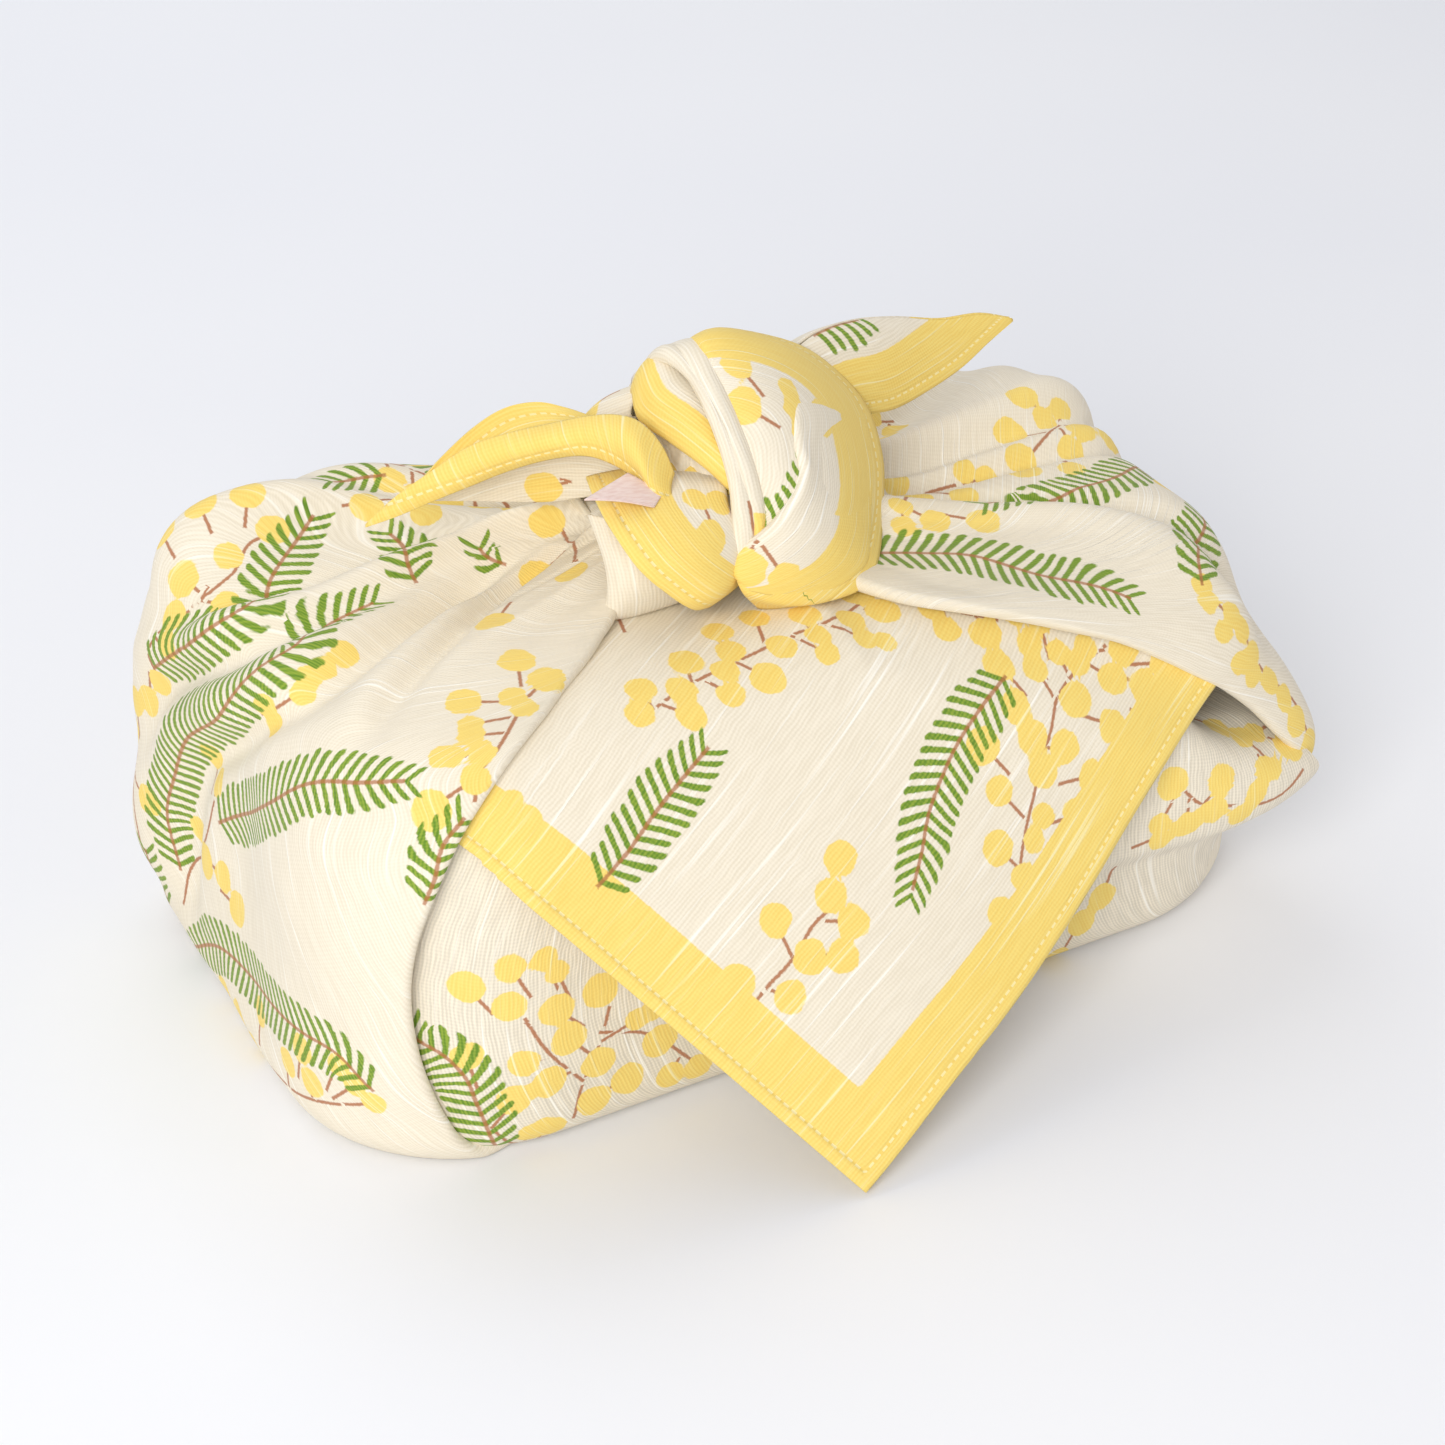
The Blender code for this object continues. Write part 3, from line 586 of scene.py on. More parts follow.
# %% Strips of the knot
KNOT_HEART = np.array((-0.006, -0.012, 0.121))
KNOT_STRIPS = {
    "knot_front_loop": (
        ((-10, 6, 144), (0, 9, 143), (12, 10, 138)),
        ((-12, -10, 155), (-6, -8, 155), (2, -5, 151)),
        ((-12, -18, 152), (2, -15, 151), (20, -4, 142)),
        ((-12, -28, 143), (7, -24, 142), (35, -4, 126)),
        ((-12, -35, 132.5), (6, -34, 131), (36, -12, 114.5)),
        ((-13, -39, 123.5), (3, -42, 121), (29.5, -23, 106.5)),
        ((-17.5, -42, 117), (-4, -46, 112), (18, -39, 103)),
        ((-20, -44, 110), (-8, -47, 104.5), (8, -45, 101.5)),
        ((-13, -40, 101), (-2, -42, 100.5), (8, -36, 100.5)),
    ),
    "knot_front_fold": (
        ((7, -20.5, 144), (18, -13.2, 139.3), (30, -4.5, 131.6)),
        ((2.7, -29.2, 140.8), (15.7, -22.1, 135), (32.4, -9.6, 124.7)),
        ((0.4, -35, 136.5), (14.3, -27.5, 129), (29.4, -16.9, 120.3)),
        ((-0.3, -39, 132), (11.5, -32.4, 124.6), (26.4, -22.8, 116.4)),
        ((-4.7, -43.1, 128), (7.8, -38.4, 121.6), (22.3, -29.1, 112.5)),
        ((-11.6, -44, 123.2), (1.5, -43.8, 118.4), (18.6, -34.8, 108.3)),
        ((-18.3, -42.3, 118.3), (-5.6, -46.4, 114.5), (13.2, -41.2, 105.6)),
        ((-21, -43.6, 113.6), (-10.6, -47.2, 110.8), (4.7, -45.6, 105.4)),
        ((-18.5, -45, 109.5), (-11.8, -46.8, 107.1), (-3.9, -46.9, 104.6)),
    ),
    "knot_middle_fold": (
        ((-15, 7, 142), (-12, 9, 144), (-8, 8, 145)),
        ((-17, -8, 152.5), (-13, -9, 154), (-9, -8, 152.5)),
        ((-18, -21, 148), (-14.5, -21, 150), (-9, -17, 148)),
        ((-17, -30, 140), (-14, -30, 142), (-8, -26, 139)),
        ((-16, -37, 129.5), (-13, -37, 131.5), (-8, -33, 128.5)),
        ((-15.5, -40, 121), (-13.5, -41, 122.5), (-9, -37, 119)),
        ((-18.5, -42, 111), (-16.5, -43, 112), (-12, -39, 109)),
    ),
    "knot_left_fold": (
        ((-19, 8, 137), (-17, 10, 139), (-13, 9, 140)),
        ((-20, -5, 151), (-17, -5.5, 152.5), (-13, -7, 150)),
        ((-18.5, -17, 150), (-17, -19, 150), (-13.5, -20, 146.5)),
        ((-18.5, -27, 144), (-16.5, -29, 143), (-13, -29, 139)),
        ((-18, -34, 134), (-16, -36, 132.5), (-12.5, -36, 128.5)),
        ((-19, -38, 127), (-17, -40, 126), (-13, -39, 122.5)),
        ((-20, -41, 116.5), (-17.5, -42, 115.5), (-14, -41, 112.5)),
    ),
    "knot_yellow_fold": (
        ((-20, 7, 134), (-15, 9, 136), (-10, 8, 137)),
        ((-25, -3, 143), (-20, -2, 148.5), (-14, -4, 148.5)),
        ((-28, -12, 141), (-21, -13, 147), (-12, -12, 146)),
        ((-25, -21, 138.5), (-19, -22, 143), (-11, -21, 141)),
        ((-20.5, -29, 134), (-17, -30, 136.5), (-11, -28, 133)),
        ((-16, -34, 128), (-14, -35, 129.5), (-10.5, -33, 127)),
    ),
    "knot_inner_fold": (
        ((-24, -10, 133), (-18, -12, 134), (-12, -13, 134)),
        ((-26, -20, 129), (-19.5, -21, 131), (-14, -21, 132)),
        ((-26, -26, 126), (-19, -27, 128.5), (-13, -27, 130)),
        ((-24, -31, 124), (-18, -31, 126), (-12.5, -31, 128)),
    ),
    "knot_lower_loop": (
        ((-43, -14, 130), (-30, -14, 129), (-14, -18, 128)),
        ((-46.5, -24, 131), (-34, -26, 131), (-17, -28, 129.5)),
        ((-48.5, -35, 129), (-36, -36.5, 129.5), (-19.5, -35, 127)),
        ((-45, -41, 121), (-34, -43, 123.5), (-19, -38.5, 122)),
        ((-39, -43, 114), (-31, -45, 116.5), (-20, -41, 117)),
        ((-32, -42, 107.5), (-27, -44, 110), (-20, -41, 111.5)),
        ((-24, -35, 102), (-21, -36, 104), (-17, -36, 106)),
    ),
    "knot_tucked_corner": (
        ((-45, -20, 124), (-42, -24, 124), (-38, -26, 123)),
        ((-46, -28, 118), (-42.5, -32, 119), (-37, -33, 117)),
        ((-46, -30.5, 112), (-41, -34.5, 113), (-33, -35, 111)),
        ((-46, -30.5, 104), (-40, -32, 104), (-30, -32, 104)),
        ((-45, -27, 101), (-40, -28, 101), (-30, -28, 101)),
    ),
    "knot_back_loop": (
        ((-10, 0, 145), (2, 1, 147), (14, -2, 143)),
        ((-12, 11, 138), (5, 14, 139), (24, 9, 135)),
        ((-14, 18, 132), (7, 22, 132), (29, 15, 127)),
        ((-14, 21, 120), (7, 24, 119), (28, 17, 114)),
        ((-12, 18, 108), (4, 20, 106), (20, 14, 104)),
        ((-8, 12, 100), (2, 13, 99), (12, 9, 99)),
    ),
    "knot_back_left_loop": (
        ((-26, -4, 138), (-21, -2, 142), (-14, -4, 143)),
        ((-34, 5, 131), (-28, 8, 135), (-19, 10, 135)),
        ((-36, 10, 121), (-29, 15, 124), (-18, 19, 123)),
        ((-35, 12, 113), (-27, 17, 113), (-15, 20, 113)),
        ((-29, 10, 102), (-20, 14, 101), (-10, 15, 100)),
    ),
}
STRIP_STATIONS, STRIP_ACROSS = 60, 40
FOLD_RADIUS = 0.0013
CURL_STEPS, CURL_TURN = 5, 0.9 * math.pi


def strip_points(rows, curl):
    """A smooth sheet through rows of three points. curl names the edges that roll under."""
    table = np.array(rows, float) / 1000
    along = np.arange(len(table), dtype=float)
    at = np.linspace(0, along[-1], STRIP_STATIONS)
    smooth = [[(i, *table[int(i), k]) for i in along] for k in range(3)]
    left, middle, right = (
        np.stack([from_table(curve, at, c) for c in (1, 2, 3)], -1) for curve in smooth
    )
    control = 2 * middle - (left + right) / 2
    s = np.linspace(0, 1, STRIP_ACROSS)[None, :, None]
    points = (1 - s) ** 2 * left[:, None] + 2 * s * (1 - s) * control[:, None] + s * s * right[:, None]
    out = np.cross(np.gradient(points, axis=1), np.gradient(points, axis=0))
    out /= np.linalg.norm(out, axis=-1, keepdims=True) + 1e-12
    away = points - KNOT_HEART
    if (out * away).sum() < 0:
        out = -out
    if "left" in curl:
        points = np.concatenate([edge_curl(points[:, 0], points[:, 1], out[:, 0])[:, ::-1], points], 1)
    if "right" in curl:
        points = np.concatenate([points, edge_curl(points[:, -1], points[:, -2], out[:, -1])], 1)
    return points


def edge_curl(edge, inside, out):
    """Columns that roll an edge under, away from out."""
    sideways = edge - inside
    sideways /= np.linalg.norm(sideways, axis=-1, keepdims=True) + 1e-12
    columns = []
    for k in range(1, CURL_STEPS + 1):
        turn = CURL_TURN * k / CURL_STEPS
        columns.append(edge + FOLD_RADIUS * (sideways * math.sin(turn) - out * (1 - math.cos(turn))))
    return np.stack(columns, 1)


def add_strip(name, rows, hem="", curl="left right", ribs="along", stretch=1.0, from_hem=0.0):
    """hem names the side of the cloth's cut edge, ribs the way in which the ribs run.

    stretch is how much wider the pulled border is than on the flat cloth, and from_hem how
    far the cut edge is from the strip's side, in millimetres.
    """
    points = strip_points(rows, curl)
    across = 1000 * distances(points, 1)
    if hem == "right":
        across = across[:, -1:] - across
    along = 1000 * distances(points, 0)
    edge = across / stretch + from_hem if hem else np.full(across.shape, FAR_FROM_EDGE)
    row = np.linspace(0, len(rows) - 1, points.shape[0])[:, None] + 0 * along
    share = np.linspace(0, 1, points.shape[1]) + 0 * along
    places = np.stack([row, share], -1)
    woven = (across, along, edge) if ribs == "along" else (along, across, edge)
    grid_sheet(name, points, np.stack(woven, -1), places, CLOTH_THICKNESS)


STRIP_OPTIONS = {
    "knot_front_loop": {"hem": "right", "curl": "left", "stretch": 2.0},
    "knot_front_fold": {"hem": "right", "stretch": 1.55, "from_hem": 2.5},
    "knot_yellow_fold": {"hem": "left", "from_hem": 5.0},
    "knot_inner_fold": {"hem": "right", "stretch": 3.0, "from_hem": 6.0},
    "knot_lower_loop": {"hem": "left", "curl": "right"},
    "left_end_front": {"hem": "right", "curl": "", "ribs": "across"},
    "left_end_back": {"hem": "left", "curl": ""},
    "left_end_inside": {"curl": ""},
    "right_end_front": {"hem": "right", "curl": ""},
    "right_end_back": {"hem": "right", "curl": ""},
}
for name, rows in KNOT_STRIPS.items():
    add_strip(name, rows, **STRIP_OPTIONS.get(name, {}))


# %% [markdown]
# ## The two free ends
#
# Past the knot each corner's tip stands free: a soft leaf, folded along its middle, with the
# hemmed border on its edges. The left one arches and droops, and one looks under its arch at
# the inside of its other half. The right one points up and out.

# %% Free ends
END_STRIPS = {
    "left_end_front": (
        ((-83, 17, 114.5), (-83.2, 17, 114.2), (-83.2, 17, 114)),
        ((-77, 14, 121), (-77.5, 13, 119.3), (-77.4, 13, 117)),
        ((-69.5, 11, 126.7), (-70.3, 9.5, 124.1), (-70, 10, 120.2)),
        ((-61, 7, 133), (-62.5, 4.5, 129.4), (-61.8, 6, 124)),
        ((-53, 3, 136), (-54.7, 0, 133.1), (-53.6, 2, 127.7)),
        ((-45.5, -2, 138.5), (-47.7, -6, 136.5), (-46.5, -4, 131.3)),
        ((-40, -8, 141.5), (-42, -12, 139.2), (-41.1, -11, 133.8)),
        ((-35.5, -14, 143.5), (-38.5, -19, 140.8), (-37.6, -18.5, 133.7)),
        ((-32, -19, 143), (-36.8, -25.5, 140.1), (-35.4, -26, 132.3)),
        ((-29.5, -24, 139), (-35, -29.5, 135.6), (-34, -31.5, 129.8)),
        ((-28, -27, 133), (-31, -31, 130.6), (-29.5, -33, 127.5)),
    ),
    "left_end_back": (
        ((-80, 16.5, 117), (-79.6, 16.5, 116.6), (-79.3, 16, 116.2)),
        ((-72.7, 14, 122), (-72.3, 14, 121), (-72.3, 12.5, 120.8)),
        ((-65.4, 14, 128), (-64.5, 12.5, 126.3), (-64.2, 10, 125.5)),
        ((-57, 14, 133.5), (-56.2, 11.5, 131), (-57.2, 7, 130)),
        ((-49.7, 13, 137), (-49.5, 9.5, 134.2), (-51, 4, 132.8)),
        ((-43, 10, 138.3), (-43.4, 6.5, 136), (-45.5, 0, 135)),
        ((-38, 6, 137.3), (-39.4, 1.5, 136.6), (-41.5, -5, 136.6)),
        ((-34.4, 1, 136.5), (-36, -4.5, 136.8), (-38, -11, 137.4)),
        ((-31, -6, 136), (-33, -11, 136.5), (-34.5, -17, 137)),
    ),
    "left_end_inside": (
        ((-76, 16, 119), (-75, 16.5, 117.5), (-74.5, 17, 116)),
        ((-70.7, 14, 121.4), (-69.9, 15, 119.2), (-69, 16, 117.2)),
        ((-62.8, 12, 124.3), (-61.5, 14, 119.4), (-61, 15, 115.7)),
        ((-52.8, 9, 127.6), (-51.6, 11, 120.2), (-50.8, 12, 114.1)),
        ((-43.9, 4, 130.1), (-42.9, 6, 121.8), (-42.1, 7, 114.1)),
        ((-38.1, -2, 131.8), (-37.2, 0, 124), (-36.4, 1, 116.4)),
        ((-33.7, -9, 132.3), (-32.8, -7, 125.5), (-31.8, -6, 119.7)),
        ((-30.4, -16, 131.5), (-29.5, -15, 126.3), (-28, -14, 121.4)),
    ),
    "right_end_front": (
        ((14, -4, 141), (20, -6, 134.5), (27, -5, 121)),
        ((24.7, 0, 143), (31, -2.5, 135.3), (37, -2, 120)),
        ((37.3, 4, 141.6), (43, 1, 134.4), (47.8, 1.5, 117.4)),
        ((51.2, 7, 138), (56.4, 5, 131), (58.2, 4.5, 117.7)),
        ((65.4, 9, 133.4), (69, 8, 127.8), (70.5, 7.5, 119.9)),
        ((78.3, 11, 131), (80.2, 10.5, 127.5), (80.3, 10, 123.6)),
        ((88.2, 12, 127.3), (88.5, 12, 127), (88.6, 12, 126.5)),
    ),
    "right_end_back": (
        ((14, -3, 141), (18, 8, 136), (22, 12, 126)),
        ((24.7, 0.6, 143), (28, 10, 136), (32, 13, 124)),
        ((37.3, 4.6, 141.6), (41, 12, 134), (44, 15, 123)),
        ((51.2, 7.6, 138), (55, 13, 131), (57, 15.5, 122)),
        ((65.4, 9.6, 133.4), (68, 13, 128), (70, 14.5, 123)),
        ((78.3, 11.6, 131), (79.5, 13, 128), (80, 13.5, 125.5)),
        ((88.1, 12.4, 127.2), (88.3, 12.5, 127), (88.4, 12.5, 126.7)),
    ),
}
for name, rows in END_STRIPS.items():
    add_strip(name, rows, **STRIP_OPTIONS[name])


# %% [markdown]
# ## The wad inside the knot and the cloth below the box
#
# Between the strips one would look into an empty knot. On the real thing gathered cloth fills
# it, so a rumpled ball stands there. The underside of the wrap is the middle of the square,
# flat on the table. It is laid as a square grid that is pressed into the box's outline, which
# leaves no pole in its middle.

# %% Heart and underside
HEART_HALF = Vector((0.022, 0.020, 0.022))
HEART_RUMPLE, HEART_RUMPLE_SIZE = 0.0012, 0.008
bpy.ops.object.select_all(action="DESELECT")
bpy.ops.mesh.primitive_ico_sphere_add(subdivisions=5, radius=1.0, location=(0, 0, 0))
heart = bpy.context.active_object
heart.name = "knot_heart"
heart_points = np.array([vertex.co for vertex in heart.data.vertices])
heart_turn = np.arctan2(heart_points[:, 1], heart_points[:, 0])
bumps = rumple(heart_turn * 6, heart_points[:, 2] * 3) + rumple(heart_turn * 14, heart_points[:, 2] * 2)
heart_points = heart_points * (np.array(HEART_HALF) + HEART_RUMPLE * bumps[:, None]) + KNOT_HEART
heart.data.vertices.foreach_set("co", heart_points.ravel())
heart_woven = 1000 * np.stack([heart_points[:, 0], heart_points[:, 2], np.full(len(heart_points), 1.0)], -1)
heart_attribute = heart.data.attributes.new("woven", "FLOAT_VECTOR", "POINT")
heart_attribute.data.foreach_set("vector", heart_woven.ravel().astype(np.float32))
bpy.ops.object.shade_smooth()

UNDER_POINTS = 121
UNDER_INSET, UNDER_HEIGHT = 0.0073, 0.0003
across, deep = np.meshgrid(np.linspace(1, -1, UNDER_POINTS), np.linspace(-1, 1, UNDER_POINTS))
turn = np.arctan2(deep, across)
reach = outline_reach(turn, UNDER_INSET) * np.maximum(np.abs(across), np.abs(deep))
under = np.stack([
    KNOT_AXIS[0] + reach * np.cos(turn), KNOT_AXIS[1] + reach * np.sin(turn), 0 * turn + UNDER_HEIGHT,
], -1)
under_woven = 1000 * np.stack([under[..., 0], under[..., 1], 0 * turn + FAR_FROM_EDGE / 1000], -1)
grid_sheet("underside", under, under_woven, 1000 * under[..., :2])
print(f"heart: {len(heart_points)} points")


# %% [markdown]
# ## The label
#
# A small ribbon label is sewn in under the left end's lower edge. It is left blank. About
# 13 by 11 mm of its satin ribbon shows, and it bows a little out of its seam.

# %% Label
LABEL_CORNERS = (
    (-53.5, -33.0, 136.1), (-38.9, -26.0, 135.6), (-33.6, -31.6, 131.2), (-37.4, -35.0, 130.8),
)
LABEL_STEPS, LABEL_BOW, RIBBON_THICKNESS = 24, 0.0008, 0.0004
left_low, left_high, right_high, right_low = (np.array(corner) / 1000 for corner in LABEL_CORNERS)
s = np.linspace(0, 1, LABEL_STEPS)[None, :, None]
t = np.linspace(0, 1, LABEL_STEPS)[:, None, None]
label_points = (left_low * (1 - s) + right_low * s) * (1 - t) + (left_high * (1 - s) + right_high * s) * t
label_out = np.cross(right_low - left_low, left_high - left_low)
label_out /= np.linalg.norm(label_out)
label_points = label_points + LABEL_BOW * label_out * np.sin(math.pi * s) * (1 - 0.5 * t)
label_places = 1000 * np.stack([distances(label_points, 1), distances(label_points, 0)], -1)
label_woven = np.concatenate([label_places, 0 * label_places[..., :1] + FAR_FROM_EDGE], -1)
grid_sheet("blank_label", label_points, label_woven, label_places, RIBBON_THICKNESS)


# %% [markdown]
# ## Where the print lies
#
# The cloth is printed with two ordinary motifs: a pinnate leaf, and a twig with round yellow
# blossoms. Each leaf is a line from its foot to its tip, and each sprig a stem and the places
# of its blossoms. The places are those by which one points at a spot on the sheet: travel and
# degrees on the wings and the front, millimetres from the two edges on the flap, and row and
# share across on the strips.
#
# In front the places follow the photo one by one: they were picked in it by eye, and a
# separate program worked this table out from them. Behind and below they are free.

# %% Table of leaves and sprigs
PRINT = {
    "wings_and_back": {
        "leaves": {
            "left A": (
                (0.52, 155), (0.63, 163), (0.69, 164), (0.73, 157), (0.77, 149), (0.77, 147),
            ),
            "left B": (
                (0.20, 158), (0.30, 158), (0.39, 160), (0.47, 164), (0.56, 171), (0.64, 175),
                (0.70, 176), (0.74, 170), (0.78, 168),
            ),
            "left C": ((0.38, 170), (0.54, 187), (0.62, 195), (0.64, 199), (0.65, 204)),
            "left E": (
                (0.20, 203), (0.24, 199), (0.24, 194), (0.22, 186), (0.20, 178), (0.18, 172),
                (0.08, 162),
            ),
            "left squeezed": ((0.82, 165), (0.82, 162), (0.84, 151), (0.83, 148)),
            "left squeezed 2": ((0.89, 162), (0.88, 160), (0.88, 158)),
            "left edge": ((0.08, 155), (0.13, 154), (0.21, 155)),
            "left lip": ((0.51, 209), (0.54, 210), (0.58, 210), (0.61, 211)),
            "left top far": ((0.74, 135), (0.73, 137), (0.73, 140)),
            "right D": (
                (0.89, -47), (0.85, -40), (0.81, -38), (0.76, -39), (0.72, -39), (0.67, -38),
                (0.64, -38),
            ),
            "right E": ((0.66, -3), (0.72, -8), (0.79, -12), (0.86, -18)),
            "right F": ((0.62, -32), (0.65, -29), (0.65, -19), (0.64, -14)),
        },
        "sprigs": {
            "left top": (
                ((0.67, 157), (0.64, 157), (0.70, 156), (0.73, 152), (0.74, 151)),
                (
                    (0.69, 147), (0.72, 146), (0.66, 148), (0.71, 153), (0.75, 150), (0.66, 154),
                    (0.68, 159), (0.71, 154),
                ),
            ),
            "left top 2": (
                ((0.55, 155), (0.64, 157)),
                ((0.62, 156), (0.58, 158), (0.50, 155), (0.45, 153)),
            ),
            "left mid": (
                ((0.61, 177), (0.69, 181), (0.71, 180)),
                ((0.73, 179), (0.69, 180), (0.63, 178), (0.68, 181), (0.61, 179), (0.71, 180)),
            ),
            "left low": (
                ((0.14, 159), (0.19, 159), (0.33, 167), (0.41, 169)),
                ((0.46, 166), (0.44, 169), (0.30, 161), (0.30, 167), (0.28, 175), (0.30, 171)),
            ),
            "left edge": (
                ((0.34, 152), (0.23, 154), (0.09, 154)),
                ((0.31, 156), (0.37, 150), (0.43, 151)),
            ),
            "neck": (
                ((0.94, 148), (0.93, 169), (0.92, 181)),
                ((0.90, 170), (0.91, 187), (0.84, 189), (0.93, 149)),
            ),
            "lip": (
                ((0.75, 209), (0.72, 210), (0.68, 211), (0.65, 211), (0.63, 212)),
                (
                    (0.81, 202), (0.78, 209), (0.76, 207), (0.74, 210), (0.75, 202), (0.70, 207),
                    (0.68, 206), (0.68, 210), (0.65, 211), (0.62, 208), (0.72, 206), (0.68, 207),
                ),
            ),
            "bottom left": (
                ((0.07, 183), (0.11, 193), (0.15, 199)),
                (
                    (0.08, 171), (0.08, 176), (0.07, 180), (0.17, 183), (0.16, 191), (0.21, 194),
                    (0.16, 195), (0.22, 199), (0.20, 201), (0.18, 203),
                ),
            ),
            "far top left": (
                ((0.78, 145), (0.79, 140)),
                ((0.79, 144), (0.83, 143)),
            ),
            "right top": (
                ((0.71, 8), (0.74, 5), (0.76, 4)),
                (
                    (0.73, 13), (0.72, 10), (0.70, 10), (0.65, 5), (0.66, -9), (0.70, 5), (0.72, 9),
                    (0.76, 10), (0.72, 3), (0.77, 4), (0.75, -4),
                ),
            ),
            "right neck": (
                ((0.92, -21), (0.86, 4), (0.81, 3)),
                (
                    (0.83, 5), (0.81, 3), (0.79, -2), (0.89, -5), (0.92, -21), (0.86, -6),
                    (0.89, -26), (0.86, -25), (0.89, 8), (0.91, -29),
                ),
            ),
            "ear": (
                ((0.63, -32), (0.58, -33), (0.53, -32), (0.49, -32)),
                (
                    (0.62, -32), (0.60, -33), (0.57, -32), (0.56, -34), (0.55, -32), (0.51, -32),
                    (0.50, -33), (0.46, -31),
                ),
            ),
            "ear edge": (
                ((0.50, -34), (0.41, -29), (0.33, -29)),
                ((0.51, -34), (0.48, -33), (0.45, -31), (0.42, -30), (0.38, -30), (0.33, -29)),
            ),
        },
    },
    "front_layer": {
        "leaves": {
            "under the flap": (
                (0.03, -148), (0.17, -148), (0.22, -149), (0.26, -151), (0.29, -154), (0.31, -155),
            ),
        },
        "sprigs": {
            "left": (
                ((0.09, -140), (0.17, -139), (0.24, -137), (0.29, -136)),
                (
                    (0.37, -149), (0.39, -145), (0.39, -142), (0.37, -141), (0.32, -137),
                    (0.31, -141), (0.26, -140), (0.20, -137), (0.12, -138), (0.14, -134),
                    (0.25, -133), (0.08, -142),
                ),
            ),
            "left 2": (
                ((0.17, -139), (0.25, -142), (0.31, -144)),
                ((0.33, -145), (0.24, -144), (0.19, -142)),
            ),
            "left 3": (
                ((0.11, -147), (0.04, -145), (0.06, -142)),
                ((0.26, -149), (0.17, -145), (0.08, -144), (0.09, -143)),
            ),
            "left right": (
                ((0.25, -137), (0.22, -132), (0.13, -126)),
                ((0.20, -130), (0.26, -131), (0.11, -129), (0.11, -125)),
            ),
            "right": (
                ((0.36, -42), (0.33, -41), (0.31, -39), (0.30, -35), (0.32, -32)),
                (
                    (0.36, -39), (0.32, -37), (0.31, -44), (0.30, -42), (0.31, -40), (0.37, -43),
                    (0.29, -38),
                ),
            ),
            "right low": (
                ((0.28, -47), (0.29, -44), (0.30, -42)),
                ((0.28, -44), (0.13, -48), (0.18, -46), (0.04, -49)),
            ),
            "pocket": (
                ((0.43, -31), (0.38, -31), (0.37, -31), (0.37, -29)),
                (
                    (0.37, -31), (0.38, -32), (0.35, -31), (0.34, -34), (0.38, -33), (0.35, -35),
                    (0.39, -32),
                ),
            ),
        },
    },
    "front_flap": {
        "leaves": {
            "small": ((92, 13), (92, 23), (92, 33), (92, 44), (91, 54)),
            "large": ((47, 113), (49, 101), (49, 92), (47, 84), (44, 75), (41, 67), (37, 59)),
        },
        "sprigs": {
            "top": (
                (
                    (105, 54), (103, 62), (100, 69), (97, 76), (94, 82), (90, 90), (85, 99),
                    (82, 110),
                ),
                (
                    (104, 84), (99, 93), (91, 100), (82, 103), (76, 109), (77, 100), (73, 102),
                    (86, 94), (90, 86), (82, 91), (89, 77), (99, 79), (98, 73), (106, 70),
                    (103, 62), (94, 68), (110, 58), (107, 51), (98, 58), (127, 82), (84, 112),
                ),
            ),
            "right lip": (
                ((75, 122), (66, 118), (54, 122)),
                (
                    (67, 115), (63, 113), (63, 121), (55, 118), (56, 126), (72, 119), (63, 128),
                    (51, 126),
                ),
            ),
            "right": (
                (
                    (10, 68), (15, 74), (20, 82), (24, 89), (27, 95), (29, 102), (32, 110),
                    (34, 115), (34, 123), (30, 135),
                ),
                (
                    (46, 123), (46, 128), (39, 126), (34, 131), (50, 114), (42, 118), (34, 126),
                    (26, 129), (18, 133), (27, 137), (17, 141), (42, 108), (31, 119), (19, 120),
                    (43, 96), (35, 105), (27, 109), (8, 128), (34, 90), (28, 100), (16, 108),
                    (9, 108), (14, 99), (21, 93), (21, 87), (27, 80), (12, 88), (16, 79), (17, 69),
                    (10, 74), (13, 62),
                ),
            ),
            "bottom": (
                ((48, 15), (48, 22), (48, 28), (48, 33), (49, 38), (49, 43)),
                ((54, 54), (51, 46), (43, 45), (56, 33), (45, 32), (40, 37), (54, 17), (42, 22)),
            ),
            "border": (
                ((124, 12), (120, 14)),
                ((122, 14), (113, 15), (128, 16), (118, 15)),
            ),
        },
    },
    "knot_front_loop": {
        "leaves": {
            "bit": ((6.2, 0.04), (5.6, 0.15), (5.1, 0.28), (4.6, 0.38), (4.2, 0.44)),
        },
        "sprigs": {
            "top": (
                ((4.1, 0.40), (3.7, 0.49), (3.3, 0.49)),
                (
                    (2.2, 0.26), (2.9, 0.15), (2.9, 0.47), (3.5, 0.46), (3.9, 0.46), (3.1, 0.46),
                    (3.4, 0.62),
                ),
            ),
        },
    },
    "knot_front_fold": {
        "leaves": {
        },
        "sprigs": {
            "low": (
                ((5.6, 0.10), (6.0, 0.12)),
                ((6.6, 0.17), (6.9, 0.46)),
            ),
        },
    },
    "knot_back_left_loop": {
        "leaves": {
        },
        "sprigs": {
            "one": (
                ((0.6, 0.60), (0.9, 0.50)),
                ((1.0, 0.35), (2.2, 0.60)),
            ),
        },
    },
    "knot_middle_fold": {
        "leaves": {
        },
        "sprigs": {
            "one": (
                ((5.6, 0.09), (5.9, 0.09)),
                ((4.9, 0.09),),
            ),
        },
    },
    "knot_left_fold": {
        "leaves": {
        },
        "sprigs": {
            "one": (
                ((4.9, 0.07), (5.7, 0.07)),
                (),
            ),
        },
    },
    "knot_lower_loop": {
        "leaves": {
        },
        "sprigs": {
            "one": (
                ((1.8, 0.73), (2.8, 0.71)),
                ((3.0, 0.69), (1.7, 0.70), (1.9, 0.83)),
            ),
        },
    },
    "left_end_inside": {
        "leaves": {
        },
        "sprigs": {
            "one": (
                ((4.8, 0.68), (4.4, 0.61)),
                ((3.9, 0.71),),
            ),
